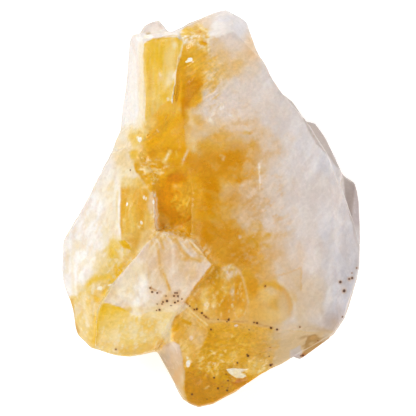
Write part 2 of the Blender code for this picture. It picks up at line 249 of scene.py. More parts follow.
# Ovals on the sheet: middle and reach, and then turn, softness, drift and raggedness where they are given.
HEART = ((226, 200), (46, 78), 0)
HEART_BORDER = ((258, 205), (26, 72), 0, 1.4)
HEART_CORE = ((222, 200), (26, 60))
FAN = ((200, 76), (20, 28))
RIGHT_OF_FAN = ((211, 76), (13, 30))
FAN_GROOVES = ((205, 70), (24, 24))
GRITTY_NECK = ((222, 80), (30, 40))
FOOT_OF_RIPPLES = ((150, 176), (10, 6))
GRITTY_SHOULDER = ((146, 146), (22, 36))
LEFT_OF_PIT = ((161, 208), (7, 26))
LIGHT_SWIRL = ((180, 203), (12, 16))
DARK_SWIRL = ((178, 206), (14, 16))
SHADE_OF_LENS = ((126.5, 246.5), (3.4, 1.6), -30, 0.9, (0, 0), 0.0)
PALE_FACE_CORNER = ((182, 308), (8, 8))
PALE_FACE_MIDDLE = ((178, 280), (24, 24))
GRITTY_PETAL = ((226, 292), (42, 32))
DULL_ARCH = ((262, 300), (38, 30))
POINT_SHADE = ((203, 388), (20, 18), 0, 0.7)
POINT_DEEP_SHADE = ((200, 388), (13, 17), 0, 1.1)
POINT_EDGE_SHADE = ((236, 386), (16, 8), 32, 0.8)
LEFT_FLAKES = ((216, 362), (24, 16), 0, 0.8)
LOW_FLAKES = ((226, 380), (14, 10), 20, 0.8)
RIGHT_FLAKES = ((252, 366), (18, 9), 30, 0.8)
MIDDLE_FLAKES = ((236, 344), (32, 16), 0, 0.8)
HOLLOW_UNDER_TEARDROP = ((237, 374), (12, 6), 0, 0.8, (0, 0))
BACK_OF_STEP = ((288, 328), (12, 4))
DULL_STEP = ((312, 346), (24, 14), 30)
TONE_OF_HEART = ((232, 240), (28, 44), 0, 1.5)
# The tone of the point is painted shade.
SHADE_ON_POINT = ((236, 384), (34, 16), 30, 1.5)

# Columns or rows between which a colour fades in.
CREAM_FADE = (168, 128)
STRAW_FADE_DOWN = (285, 325)
STRAW_FADE_LEFT = (190, 165)
GOLD_FADE_DOWN = (318, 345)
GOLD_FADE_IN = (172, 186)
GOLD_FADE_OUT = (285, 262)
MILK_FADE = (200, 235)
FAN_FADE = (198, 206)
AMBER_STRIP_FADE = (119.6, 122.0)
POINT_BEIGE_FADE = (260, 284)
POINT_FAWN_FADE = (282, 312)

# Dark grains of iron in the surface: column, row and width, in squares.
SPECKS_IN_PALE_FACE = [
    (150, 288, 1.3), (152, 292, 1.3), (157, 293, 1.1), (166, 296, 1.0), (167, 301, 1.9), (163, 302, 1.4),
    (162, 304, 1.0), (174, 296, 1.4), (175, 293, 1.0), (177, 293, 1.0), (178, 296, 1.0), (178, 301, 1.2),
    (175, 302.5, 1.4), (171, 305.5, 0.9), (159.5, 310, 1.8), (156.5, 310.5, 1.0), (182, 299, 1.1),
    (157, 304, 0.8),
]
SPECKS_ON_CRACK = [
    (190, 306, 1.0), (194.5, 309.5, 1.4), (197, 309, 1.7), (202, 313, 1.7), (206, 317, 1.5),
    (204, 315.5, 1.0), (218, 319.5, 1.1), (228.5, 320, 1.9), (229, 318.5, 1.0), (227, 322, 0.9),
    (211, 329.5, 1.7), (254, 322.5, 1.5), (257, 323, 1.9), (271, 328, 1.6), (277, 329.5, 1.6),
    (249, 330, 0.9), (265, 286, 1.4),
]
SPECKS_ON_POINT = [
    (248, 356, 2.0), (247, 354.5, 1.1), (237.5, 362.5, 1.5), (269, 356, 1.0), (270, 347, 0.9),
    (270.5, 365, 2.2), (272, 364, 1.2), (214, 378, 1.5), (226, 375, 1.1), (228, 381, 1.3), (218, 388.5, 1.9),
    (227, 390.5, 1.7), (228, 388, 1.0), (192, 394.5, 1.7), (207, 399.5, 1.3), (222, 386.5, 0.8),
    (224, 398.5, 0.9),
]
SPECKS_ON_THE_RIGHT = [
    (340, 282, 2.2), (349, 279, 2.0), (352, 278, 2.0), (344, 291, 2.6), (343, 317, 1.3), (357, 268, 1.3),
    (352, 273, 1.0), (303, 355.5, 2.0), (301, 356, 1.4), (300, 327, 1.2), (318, 341, 1.0), (116, 349, 1.5),
    (130, 170, 1.0),
]

# Small white gleams: column, row and width.
GLEAMS = [
    (189.5, 60, 5.0), (139, 139, 3.0), (153.5, 202, 2.0), (157, 227, 2.0), (127.3, 204, 1.6),
    (145.5, 198.5, 2.6), (141, 223, 2.4), (100, 288, 3.4), (109, 284.5, 3.0), (187, 364, 4.5),
    (235.5, 325.5, 2.8), (232, 373, 6.5), (242, 373, 6.5), (222, 106, 3.5), (213, 115, 3.5),
]
CRISP_LINES = [
    PRISM_RIDGE, KNOB_RIDGE, PIT_RIDGE, DIAGONAL_RIDGE, FRONT_RIDGE, CRACK, LIGHT_LINE_ABOVE_POINT,
    EDGE_OF_PALE_STRIP, EDGE_OF_AMBER_STRIP, LEFT_EDGE_OF_POINT, RIDGE_OF_POINT, FOOT_OF_PIT, YELLOW_LENS,
    NEEDLE, RUST_VEIN, PETAL_ARC,
]

CORNERS = np.array([(i, j, k) for i in (0, 1) for j in (0, 1) for k in (0, 1)])
HASH_STEPS = np.array([374761393, 668265263, 362437])
# Three axes at right angles, turned away from the mesh's own.
LEANING_AXES = np.array([[0.36, 0.48, -0.80], [-0.80, 0.60, 0.0], [0.48, 0.64, 0.60]])

# Where the ridges are worn round: path, width in squares, softness and rounds of wear.
WORN_EDGES = [
    (SHOULDER_STEP, 14.0, 0.6, 60), (SHOULDER_CREASE, 13.0, 0.6, 70), (VALLEY_EDGE, 15.0, 0.6, 40),
    (ARCH[:7], 14.0, 0.7, 90),
]
ROUNDS_ON_MAIN_FACE = 160
ROUNDS_IN_PIT_CORNER = 160
ROUNDS_FOR_LIGHT = 12
ROUNDS_FOR_FOLDS = 70

# Relief of the break: heights and sizes in mm.
DENT_HEIGHT, DENT_SIZE = 0.07, 4.5
PIMPLE_HEIGHT, PIMPLE_SIZE = 0.02, 1.4
CHIP_DEPTH, CHIP_SIZE = 0.16, 1.6
FIBRE_DEPTH = 0.02
HOLLOW_DEPTH = 0.16
# Shell-shaped ripples: the place they spread from, their middle and reach, step in squares and depth in mm.
RIPPLES = [
    ((128, 150), (150, 170), (26, 16), 6.5, 0.035), ((196, 186), (176, 200), (16, 20), 6.0, 0.06),
    ((262, 330), (250, 292), (44, 30), 11.0, 0.02),
]
# Where the break is sugary: the middle and reach of an oval, and how sugary it is there.
SUGARY_PLACES = [
    ((85, 245), (30, 60), 0.35), ((130, 335), (60, 24), 0.6), ((218, 364), (30, 24), 1.0),
    ((194, 40), (14, 14), 0.8), ((177, 192), (14, 34), 0.8), ((272, 302), (24, 26), 0.4),
]
# Broken facets: height and size in mm, seed, and the share of them that is left where nothing is sugary.
FACETS_ON_FACE = [(0.16, 3.2, 111, 0.35), (0.09, 1.3, 112, 0.10), (0.05, 0.7, 113, 0.0)]
FACETS_BELOW = [(0.10, 3.2, 111), (0.04, 1.3, 112)]
# What is refined beside the crisp marks, in squares.
BESIDE_LINE = 1.4
BESIDE_SPECK, CLOSE_TO_SPECK = 1.0, 0.5

# The stone's material.
QUARTZ = {
    "IOR": 1.544,
    "Specular IOR Level": 0.15,
    "Subsurface Weight": 0.22,
    "Subsurface Radius": (1.0, 0.62, 0.35),
    "Subsurface Scale": 0.0005,
}
SMOOTHEST, ROUGHEST = 0.16, 0.36
WEAR_SCALE = 420.0  # per metre, as all scales here
SPLINTER_SCALE = 900.0
SPLINTER_HEIGHT = 0.5
FINE_SCALE = 2600.0
BUMP_STRENGTH = 0.35
BUMP_HEIGHT = 0.00004  # m
GRAIN_SCALE = 2500.0
GRAIN_ROUGHNESS = 0.62
STRAND_SCALE = 2400.0
STRAND_LEAN = math.radians(38)
STRAND_LENGTH = (6.0, 1.0, 2.0)
HONEY_INSIDE = (1.0, 0.78, 0.38, 1.0)
HONEY_DENSITY = 30.0

# The room: places and sizes in metres, power in watts.
WHITE_SWEEP = {
    "Base Color": (0.93, 0.93, 0.93, 1.0),
    "Roughness": 0.9,
    "Specular IOR Level": 0.0,
    "Emission Color": (1.0, 1.0, 1.0, 1.0),
    "Emission Strength": 0.45,
}
FLOOR_SIZE = 3.0
TENT_SIDE, TENT_TOP = 0.60, 0.20  # how bright the tent is
SOFTBOXES = [
    ("key softbox", (-0.65, 0.45, 0.62), 7.0), ("back softbox", (0.55, 0.62, 0.60), 1.8),
    ("front softbox", (-0.25, -0.80, 0.60), 2.6), ("side softbox", (0.80, -0.25, 0.58), 1.6),
]
SOFTBOX_SIZE = 0.5
LIT_SPOT = (0.0, 0.0, 0.008)
SENSOR_WIDTH = 36.0
SEEN_RANGE = (0.01, 20.0)


def smooth(low, high, value):
    """0 at low, 1 at high, and an even S between; low may be the larger one."""
    part = np.clip((value - low) / (high - low), 0.0, 1.0)
    return part * part * (3.0 - 2.0 * part)


def scatter(cell, seed):
    """A repeatable number between -1 and 1 for every whole-numbered cell."""
    mixed = cell @ HASH_STEPS + seed * 974711
    mixed = (mixed ^ (mixed >> 13)) & 0xFFFFFFFF
    mixed = (mixed * 1274126177) & 0xFFFFFFFF
    return ((mixed ^ (mixed >> 16)) & 0xFFFF) / 32767.5 - 1.0


def mist(place, size, seed, octaves=3):
    """Cloudy noise between about -1 and 1, whose largest blots have this size."""
    total = np.zeros(len(place))
    size = np.array(size, dtype=float)
    weight = 1.0
    for octave in range(octaves):
        scaled = place / size + seed * 7.31
        cell = np.floor(scaled).astype(np.int64)
        part = scaled - cell
        part = part * part * (3.0 - 2.0 * part)
        for corner in CORNERS:
            share = np.prod(np.where(corner, part, 1.0 - part), axis=1)
            total += weight * share * scatter(cell + corner, seed + octave)
        size = size / 2.0
        weight *= 0.5
    return total * 1.1


class Skin:
    """The look of every mesh point of the stone: its colour, how clear it is and how dull.

    Places are given in squares of the drawing sheet, as the stone is seen from straight above.
    """

    def __init__(self, points, normals):
        self.points = points
        nearer = EYE_DISTANCE / (EYE_HEIGHT - points[:, 2]) / SQUARE
        self.column = SHEET_MIDDLE + (points[:, 0] - EYE_X) * nearer
        self.row = SHEET_MIDDLE - (points[:, 1] - EYE_Y) * nearer
        self.place = np.stack([self.column, self.row, points[:, 2] / SQUARE], axis=1)
        self.wide = (mist(self.place, 30.0, 11), mist(self.place, 30.0, 12))
        self.fine = (mist(self.place, 8.0, 13), mist(self.place, 8.0, 14))
        self.rag = mist(self.place, 11.0, 15, 4)
        self.seen = smooth(-0.02, 0.16, normals[:, 2])
        self.up = normals[:, 2]
        self.under = smooth(-0.05, -0.35, self.up)
        self.light = np.ones(len(points))
        self.colour = np.tile(np.array(MILK, dtype=float), (len(points), 1))
        self.grit = np.full(len(points), GRIT)
        self.strands = np.full(len(points), STRANDS)
        self.dull = DULL_SIDES * smooth(0.3, 0.0, self.up)

    def drifted(self, drift):
        """Columns and rows, shifted by wide and fine wandering of this many squares."""
        wide, fine = drift
        column = self.column + self.wide[0] * wide + self.fine[0] * fine
        row = self.row + self.wide[1] * wide + self.fine[1] * fine
        return column, row

    def oval(self, at, reach, turn=0.0, soft=1.1, drift=(2.5, 1.5), ragged=0.22):
        """1 in the middle of an oval and 0 outside it, with a soft and ragged edge."""
        column, row = self.drifted(drift)
        column, row = column - at[0], row - at[1]
        angle = math.radians(turn)
        along = column * math.cos(angle) - row * math.sin(angle)
        across = column * math.sin(angle) + row * math.cos(angle)
        far = np.hypot(along / reach[0], across / reach[1]) + ragged * self.rag
        return smooth(1.0 + soft / 2, 1.0 - soft / 2, far)

    def spot(self, at, reach, turn=0.0):
        """A small mark with a crisp edge."""
        return self.oval(at, reach, turn, 0.5, (0.0, 0.5), 0.0)

    def outline(self, corners, edge=1.6, drift=(0.0, 0.6)):
        """1 inside the corners and 0 outside, over an edge this many squares wide."""
        column, row = self.drifted(drift)
        inside = np.zeros(len(column), dtype=bool)
        far = np.full(len(column), 1e9)
        for (x1, y1), (x2, y2) in zip(corners, [*corners[1:], corners[0]]):
            far = np.minimum(far, distance(column, row, (x1, y1), (x2, y2)))
            if y1 != y2:
                crossing = x1 + (row - y1) * (x2 - x1) / (y2 - y1)
                inside ^= ((y1 > row) != (y2 > row)) & (column < crossing)
        return smooth(-edge / 2, edge / 2, np.where(inside, far, -far))

    def line(self, path, width, soft=0.6, drift=(0.0, 0.5)):
        """1 on a path and 0 beside it, with an edge that is softer the larger soft is."""
        column, row = self.drifted(drift)
        far = np.full(len(column), 1e9)
        for start, end in zip(path, path[1:]):
            far = np.minimum(far, distance(column, row, start, end))
        return smooth(width / 2 * (1.0 + soft), width / 2 * (1.0 - soft), far)

    def fibres(self, size, turn, seed, cut=0.0, soft=0.5, octaves=3):
        """Streaks this long and wide, rising by turn degrees to the right: 1 in a streak, 0 beside it."""
        angle = math.radians(turn)
        along = self.column * math.cos(angle) - self.row * math.sin(angle)
        across = self.column * math.sin(angle) + self.row * math.cos(angle)
        place = np.stack([along, across, self.place[:, 2]], axis=1)
        strands = mist(place, (size[0], size[1], size[0]), seed, octaves)
        return smooth(cut - soft / 2, cut + soft / 2, strands)

    def wash(self, colour, where, strength=1.0, all_round=False):
        """Lays a colour over the face, or all round the stone."""
        share = where * strength
        if not all_round:
            share = share * self.seen
        self.colour += (np.array(colour, dtype=float) - self.colour) * share[:, None]

    def tone(self, where, by):
        """Makes a place lighter or darker by this share."""
        self.colour *= 1.0 + (where * by * self.seen)[:, None]

    def around(self, size=8):
        """The mean colour of what is seen near each place, over squares of this size."""
        across, down = self.column / size, self.row / size
        spare = 2  # cells beyond the edge of the sheet
        total = np.zeros((SHEET // size + 4 * spare, SHEET // size + 4 * spare, 4))
        paint = np.concatenate([self.colour, np.ones((len(across), 1))], axis=1) * self.seen[:, None]
        np.add.at(total, (down.astype(int) + spare, across.astype(int) + spare), paint)
        mean = total[:, :, :3] / np.maximum(total[:, :, 3:], 1e-6)
        filled = (total[:, :, 3:] > 1.0).astype(float)
        found = np.zeros((len(across), 4))
        for step_down in (0, 1):
            for step_across in (0, 1):
                cell_down = np.floor(down - 0.5 + step_down)
                cell_across = np.floor(across - 0.5 + step_across)
                near = (1.0 - np.abs(down - 0.5 - cell_down)) * (1.0 - np.abs(across - 0.5 - cell_across))
                cell = (cell_down.astype(int) + spare, cell_across.astype(int) + spare)
                near = near[:, None] * filled[cell]
                found += near * np.concatenate([mean[cell], np.ones((len(across), 1))], axis=1)
        return np.where(found[:, 3:] > 0.05, found[:, :3] / np.maximum(found[:, 3:], 0.05), self.colour)

    def glazes(self, marks):
        """Wide, weak drifts of colour that leave the finer pattern as it is."""
        around = self.around()
        for colour, at, reach, turn, strength in marks:
            share = (self.oval(at, reach, turn, 1.5) * strength * self.seen)[:, None]
            shift = (np.array(colour, dtype=float) - around) * share
            self.colour += shift
            around += shift

    def dabs(self, marks, inside=1.0, **edge):
        """Soft spots of colour, each with its place, reach, turn and strength."""
        for colour, at, reach, turn, strength in marks:
            self.wash(colour, inside * self.oval(at, reach, turn, **edge), strength)

    def spots(self, marks):
        """Small crisp spots of colour."""
        for colour, at, reach, turn, strength in marks:
            self.wash(colour, self.spot(at, reach, turn), strength)

    def strokes(self, marks, inside=1.0, soft=0.9):
        """Soft lines of colour, each with its path, width and strength."""
        for colour, path, width, strength in marks:
            self.wash(colour, inside * self.line(path, width, soft), strength)

    def streaks(self, marks, inside):
        """Fibres of colour, each with its size, turn, seed, cut and strength."""
        for colour, size, turn, seed, cut, strength in marks:
            self.wash(colour, inside * self.fibres(size, turn, seed, cut), strength)

    def roughen(self, where, grit=0.0, strands=0.0):
        """Adds fine grains or strands to the colour here."""
        self.grit += where * grit * self.seen
        self.strands += where * strands * self.seen

    def hollow(self, where, by):
        """Less of the room's light gets into a hollow: the paint makes up for it."""
        self.light *= 1.0 - where * by

    def blunt(self, where, by):
        """Takes the gloss away here: the surface is at least this much rougher."""
        self.dull = np.maximum(self.dull, by * where)

    def turn_to_light(self, normals, depth):
        """How much of the room's light each place gets, from the way it faces and its depth in a fold."""
        light = ROOM_LIGHT - LIGHT_FROM_LEFT * normals[:, 0] + LIGHT_FROM_BACK * normals[:, 1]
        light += FLOOR_LIGHT * smooth(*STEEP, normals[:, 2])
        self.light *= np.maximum(light, LEAST_ROOM_LIGHT) * (1.0 - FOLD_SHADE * smooth(*FOLD_DEPTH, depth))

    def paint_against_light(self):
        """The paint in linear light, divided by the light each place gets: painted shade where it gets more
        light, painted light where it gets less.
        """
        shown = np.clip(self.colour / 255.0, 0.0, 1.0)
        linear = np.where(shown <= 0.04045, shown / 12.92, ((shown + 0.055) / 1.055) ** 2.4)
        light = np.clip(self.light, *LIGHT_RANGE) * (1.0 - CLEAR_LOSS * self.clarity())
        paint = np.maximum(linear - GLOSS_LIGHT, 0.0) / light[:, None]
        return paint * np.minimum(1.0, BRIGHTEST / paint.max(axis=1))[:, None]

    def clarity(self):
        """How clear each point is: milk hides what is behind it, and honey lets light through."""
        high = self.colour.max(axis=1)
        low = self.colour.min(axis=1)
        depth = (high - low) / np.maximum(high, 1.0)
        return LEAST_CLARITY + DEPTH_CLARITY * smooth(*COLOUR_DEPTH, depth)


def distance(column, row, start, end):
    """How far each place is from the line between two marks."""
    step = np.array(end, dtype=float) - np.array(start, dtype=float)
    part = ((column - start[0]) * step[0] + (row - start[1]) * step[1]) / max(step @ step, 1e-9)
    part = np.clip(part, 0.0, 1.0)
    return np.hypot(column - start[0] - part * step[0], row - start[1] - part * step[1])


def paint_body(skin):
    """The ground colours, which run right round the stone: cream on the left, gold below, honey under it."""
    column, row = skin.drifted((12.0, 3.0))
    skin.wash(CREAM, smooth(*CREAM_FADE, column), 1.0, True)
    skin.wash(STRAW, smooth(*STRAW_FADE_DOWN, row) * smooth(*STRAW_FADE_LEFT, column), 0.9, True)
    upper = 0.45 + 0.55 * smooth(-0.05, 0.15, skin.up)
    below = smooth(*GOLD_FADE_DOWN, row) * smooth(*GOLD_FADE_IN, column) * smooth(*GOLD_FADE_OUT, column)
    skin.wash(GOLD, upper * below, 1.0, True)
    veil = mist(skin.points, 9.0, 31)
    skin.wash(HONEY, smooth(0.1, 0.6, veil) * skin.under, 0.7, True)
    skin.wash(AMBER, smooth(0.5, 0.9, veil) * skin.under, 0.6, True)
    skin.wash(SNOW, smooth(0.1, 0.6, mist(skin.points, 5.0, 32)) * skin.under, 0.5, True)


# Veils: colour, the values of the mist between which they show, its size in mm, its seed and their strength.
SIDE_VEILS = [
    (HONEY, 0.2, 0.8, (9.0, 9.0, 5.0), 33, 0.5), (FAWN, 0.0, 0.6, 6.0, 34, 0.55),
    (ASH, 0.1, 0.7, (7.0, 7.0, 3.0), 36, 0.5), (SNOW, 0.2, 0.7, (4.0, 4.0, 2.0), 35, 0.55),
]


def paint_sides(skin):
    """The broken sides and the back: milk with honey veils, pale clouds and a few fine cracks."""
    side = smooth(0.15, -0.05, skin.up)
    for colour, low, high, size, seed, strength in SIDE_VEILS:
        skin.wash(colour, side * smooth(low, high, mist(skin.points, size, seed, 4)), strength, True)
    crack = smooth(0.05, 0.0, np.abs(mist(skin.points, 8.0, 37, 4)))
    skin.wash(TOFFEE, side * crack, 0.4, True)


WARM_DRIFTS = [(WARM_MILK, (300, 215), (34, 60), 0, 0.45), (BLUSH, (306, 290), (26, 46), 0, 0.5)]
COOL_DRIFTS = [
    (COOL_MILK, (324, 158), (14, 16), 0, 0.75), (COOL_MILK, (300, 150), (22, 30), 0, 0.35),
    (COOL_MILK, (329, 230), (9, 24), 12, 0.6), (COOL_MILK, (331, 295), (8, 34), 4, 0.7),
]
GREY_MARGINS = [
    (ASH, [(262, 66), (284, 98), (294, 104), (303, 119)], 5.0, 0.35),
    (ASH, [(358, 262), (352, 300), (340, 330), (325, 342)], 5.0, 0.4),
]
MILK_STREAKS = [(PEARL, (26, 9), 60, 41, 0.25, 0.28), (WARM_MILK, (18, 7), 50, 42, 0.2, 0.28)]


def paint_milky_side(skin):
    """The broad milky right half, with cool and warm drifts in it."""
    right = smooth(*MILK_FADE, skin.column)
    skin.dabs(WARM_DRIFTS, right)
    skin.dabs(COOL_DRIFTS)
    skin.wash(COOL_MILK, skin.outline(RIGHT_MARGIN, 3.0), 0.35)
    skin.wash(PEARL, skin.line(BREAK_RIDGE, 4.0, 0.9), 0.4)
    skin.strokes(GREY_MARGINS, soft=1.0)
    skin.streaks(MILK_STREAKS, right)
    skin.wash(SNOW, right * skin.fibres((16, 2.6), 52, 43, 0.50, 0.4, 4), 0.16)
    skin.wash(SNOW, right * skin.fibres((14, 2.6), -70, 44, 0.55, 0.4, 4), 0.12)


LEDGE_ENDS = [(MILK, (357, 242), (6, 12), 0, 0.6), (SAND, (312, 332), (20, 8), -10, 0.6)]


def paint_ledges(skin):
    """The grey broken steps beyond the main face."""
    skin.wash(ASH, skin.outline(UPPER_LEDGE, 1.6), 0.9)
    skin.wash(MAUVE, skin.line(UPPER_LEDGE_SHADE, 5.0, 0.9), 0.35)
    skin.wash(ASH, skin.outline(MIDDLE_LEDGE, 1.6), 0.95)
    skin.wash(MAUVE, skin.line(MIDDLE_LEDGE_SHADE, 7.0, 0.8), 0.7)
    skin.dabs(LEDGE_ENDS)


def paint_golden_ground(skin):
    """The golden ground that shows between the marks of the neck, the pit and the point."""
    skin.wash(SAFFRON, skin.outline(GOLDEN_MIDDLE, 5.0, (1.0, 1.5)), 0.9)
    skin.wash(HONEY, skin.outline(GOLDEN_FOOT, 8.0, (2.0, 1.5)), 0.85)


HEART_GROUND = [
    (BLUSH, (230, 106), (40, 22), 0, 0.5), (FAWN, (254, 196), (28, 70), 0, 0.5),
    (FAWN, (258, 262), (32, 28), 0, 0.45), (PEACH, (226, 128), (32, 9), -4, 0.55),
    (TOFFEE, (236, 152), (36, 20), 0, 0.55), (TOFFEE, (244, 182), (20, 26), 0, 0.5),
    (TOFFEE, (238, 214), (20, 24), 0, 0.45), (TOFFEE, (256, 256), (28, 24), 0, 0.6),
]
HEART_CLOUDS = [
    (HONEY, (222, 150), (31, 13), -4, 0.8), (HONEY, (220, 168), (34, 20), 4, 0.9),
    (HONEY, (210, 206), (24, 42), 0, 0.95), (HONEY, (226, 244), (32, 23), -8, 0.95),
    (HONEY, (250, 264), (20, 12), -20, 0.8), (AMBER, (213, 160), (28, 13), 0, 0.85),
    (AMBER, (224, 166), (23, 13), 0, 0.8), (AMBER, (207, 192), (14, 32), 0, 0.85),
    (AMBER, (212, 232), (24, 18), -8, 0.9), (AMBER, (236, 252), (17, 17), -30, 0.85),
    (AMBER, (250, 268), (11, 7), -20, 0.7),
]
HEART_MARKS = [
    (GOLD, (210, 145), (16, 5), 0, 0.5), (SAFFRON, (196, 186), (7, 24), 0, 0.6),
    (SAFFRON, (202, 214), (10, 7), 10, 0.4), (DEEP_AMBER, (232, 160), (13, 8), 0, 0.75),
    (DEEP_AMBER, (192, 157), (7, 5), 0, 0.55), (DEEP_AMBER, (197, 167), (11, 7), 10, 0.6),
    (DEEP_AMBER, (211, 193), (8, 9), 0, 0.75), (DEEP_AMBER, (210, 181), (8, 5), 0, 0.5),
    (DEEP_AMBER, (205, 208), (8, 4), 0, 0.5), (DEEP_AMBER, (206, 235), (10, 9), 0, 0.7),
    (DEEP_AMBER, (228, 232), (9, 5), 0, 0.6), (DEEP_AMBER, (240, 253), (10, 8), 0, 0.75),
    (DEEP_AMBER, (247, 262), (7, 4), -20, 0.6), (DEEP_AMBER, (241, 179), (5, 4), 0, 0.75),
    (DEEP_AMBER, (218, 171), (8, 5), 0, 0.4), (GOLD, (214, 217), (7, 5), 0, 0.7),
    (GOLD, (220, 251), (8, 5), 0, 0.55), (HONEY, (209, 255), (6, 6), 0, 0.6),
    (TOFFEE, (237, 147), (10, 4), 0, 0.6), (TOFFEE, (233, 194), (13, 9), 0, 0.6),
    (FAWN, (247, 192), (8, 8), 0, 0.5), (ROSE, (242, 214), (5, 9), 8, 0.45),
    (ROSE, (246, 184), (6, 3), 0, 0.35), (GOLD, (255, 226), (4, 3), 0, 0.5),
    (GOLD, (250, 231), (2.5, 4), 0, 0.4), (HONEY, (262, 238), (10, 6), 0, 0.5),
    (GOLD, (267, 235), (5, 2), 0, 0.45), (GOLD, (253, 243), (7, 3), -40, 0.65),
    (GOLD, (268, 246), (4, 3), 0, 0.4), (TOFFEE, (252, 160), (8, 12), 0, 0.45),
    (GOLD, (251, 144), (3, 5), 0, 0.4), (GOLD, (246, 133), (5, 2), 0, 0.35),
    (HONEY, (223, 134), (8, 4), 0, 0.45), (SAFFRON, (189, 232), (4, 8), -30, 0.5),
    (BEIGE, (276, 268), (16, 7), 8, 0.4), (TOFFEE, (252, 205), (5, 4), 0, 0.35),
]
HEART_TOP = [
    (PEACH, (192, 130), (9, 21), 0, 0.75), (BLUSH, (200, 122), (9, 13), 0, 0.5),
    (BUTTER, (190, 118), (5, 6), 30, 0.5), (GOLD, (196, 117), (4, 5), 30, 0.35),
    (BLUSH, (222, 117), (22, 7), 8, 0.45), (BLUSH, (240, 129), (11, 3), 0, 0.5),
    (BUTTER, (192, 142), (5, 8), 0, 0.35), (SNOW, (211, 119), (3, 4), 20, 0.4),
]
HEART_GLINTS = [
    (SNOW, (222, 106), (2.2, 3.6), 8, 0.75), (SNOW, (213, 114), (2.6, 1.8), 40, 0.6),
    (SNOW, (210.5, 120), (1.8, 2.4), 0, 0.45), (SNOW, (232, 115.5), (3.4, 1.2), 10, 0.5),
    (PEACH, (224, 157), (2.4, 1.6), 60, 0.6), (BUTTER, (222, 154), (1.2, 1.4), 0, 0.5),
    (BLUSH, (240, 237), (1.8, 1.8), 0, 0.6), (BLUSH, (256, 232), (1.6, 1.2), 0, 0.5),
    (BUTTER, (194, 146), (2.2, 1.2), 40, 0.5),
]
HEART_STREAKS = [(DEEP_AMBER, (9, 5), 20, 51, 0.35, 0.2), (PEACH, (8, 5), -35, 52, 0.42, 0.2)]
HEART_BORDER_STREAKS = [(TOFFEE, (9, 4), 30, 53, 0.25, 0.45), (ROSE, (10, 4), 50, 54, 0.30, 0.4)]


def paint_heart(skin):
    """The honey cloud in the middle of the main face."""
    skin.dabs(HEART_GROUND, soft=1.5)
    skin.dabs(HEART_CLOUDS)
    skin.dabs(HEART_MARKS, drift=(1.2, 1.2))
    skin.dabs(HEART_TOP)
    skin.spots(HEART_GLINTS)
    skin.wash(SNOW, skin.line(NEEDLE, 1.9, 0.7), 0.6)
    heart = skin.oval(*HEART)
    skin.streaks(HEART_STREAKS, heart)
    border = np.clip(skin.oval(*HEART_BORDER) - 0.4 * skin.oval(*HEART_CORE), 0, 1)
    skin.streaks(HEART_BORDER_STREAKS, border)
    skin.roughen(heart, 0.03, 0.015)


KNOB_GROUND = [
    (BLUSH, (228, 46), (24, 18), 0, 0.6), (PEACH, (228, 66), (24, 16), -10, 0.65),
    (PEACH, (214, 46), (9, 9), 0, 0.5), (BLUSH, (212, 94), (14, 16), 0, 0.6),
    (HONEY, (217, 64), (11, 14), 0, 0.45), (HONEY, (238, 64), (6, 5), 0, 0.45),
    (HONEY, (244, 53), (6, 5), 0, 0.35), (HONEY, (230, 73), (12, 4), 5, 0.3),
    (BLUSH, (248, 84), (10, 12), 0, 0.3),
]
KNOB_MARKS = [
    (BLUSH, (246, 46), (9, 13), 20, 0.7), (MILK, (240, 34), (8, 5), 0, 0.6),
    (PEACH, (204, 24), (9, 8), 30, 0.7), (BLUSH, (210, 18), (7, 5), 30, 0.6),
    (SNOW, (220, 24), (7, 6), 0, 0.6), (COOL_MILK, (240, 26), (8, 8), 0, 0.6),
    (COOL_MILK, (228, 16), (9, 4), 0, 0.5), (SNOW, (214, 35), (6, 2.5), 15, 0.6),
]
KNOB_SIDE_MARKS = [
    (PEACH, (192, 25), (9, 4), 25, 0.6), (LEMON, (186, 32.5), (8, 2.6), 12, 0.9),
    (LEMON, (197, 31), (8, 2), 5, 0.6), (BLUSH, (190, 43), (7, 4), 0, 0.7),
    (PEACH, (199, 47), (6, 3), 0, 0.5), (HONEY, (203, 36), (5, 4), 0, 0.5),
    (SAFFRON, (204, 43), (4.4, 3.4), 0, 1.0), (SAFFRON, (194, 53), (11, 5), 0, 0.8),
]
KNOB_SIDE_GLINTS = [
    (SNOW, (184.5, 38), (2.6, 2.6), 0, 0.9), (SNOW, (183.5, 42), (1.6, 1.8), 0, 0.7),
    (SNOW, (198, 36.5), (2.2, 2.0), 0, 0.8), (SNOW, (191, 37.5), (1.4, 1.2), 0, 0.6),
    (AMBER, (199, 32), (3.0, 1.4), 0, 0.8), (AMBER, (192, 33), (1.2, 2.4), 30, 0.7),
    (AMBER, (205, 42), (2.4, 2.0), 0, 0.5), (BROWN, (190, 36), (1.0, 1.0), 0, 0.4),
]
KNOB_SIDE_STREAKS = [(GOLD, (4, 2.2), 30, 61, 0.25, 0.55), (CREAM, (4, 2.2), -30, 60, 0.35, 0.5)]
# Painted highlights: snow lines along the knob's cap edge and ridge.
KNOB_EDGE_HIGHLIGHTS = [(SNOW, CAP_EDGE, 2.0, 0.5), (SNOW, KNOB_RIDGE, 1.4, 0.5)]


def paint_knob(skin):
    """The pale knob of the neck, with its yellow side and painted highlights on its edges."""
    skin.dabs(KNOB_GROUND, soft=1.5)
    skin.wash(PEARL, skin.outline(KNOB_CAP, 5.0, (0.0, 1.5)), 0.75)
    skin.dabs(KNOB_MARKS)
    knob_side = skin.outline(KNOB_SIDE, 3.5, (0.0, 1.5))
    skin.wash(STRAW, knob_side, 0.95)
    skin.dabs(KNOB_SIDE_MARKS, drift=(0.0, 1.0))
    skin.spots(KNOB_SIDE_GLINTS)
    skin.streaks(KNOB_SIDE_STREAKS, knob_side)
    # painted highlights on the knob's edges
    skin.strokes(KNOB_EDGE_HIGHLIGHTS)


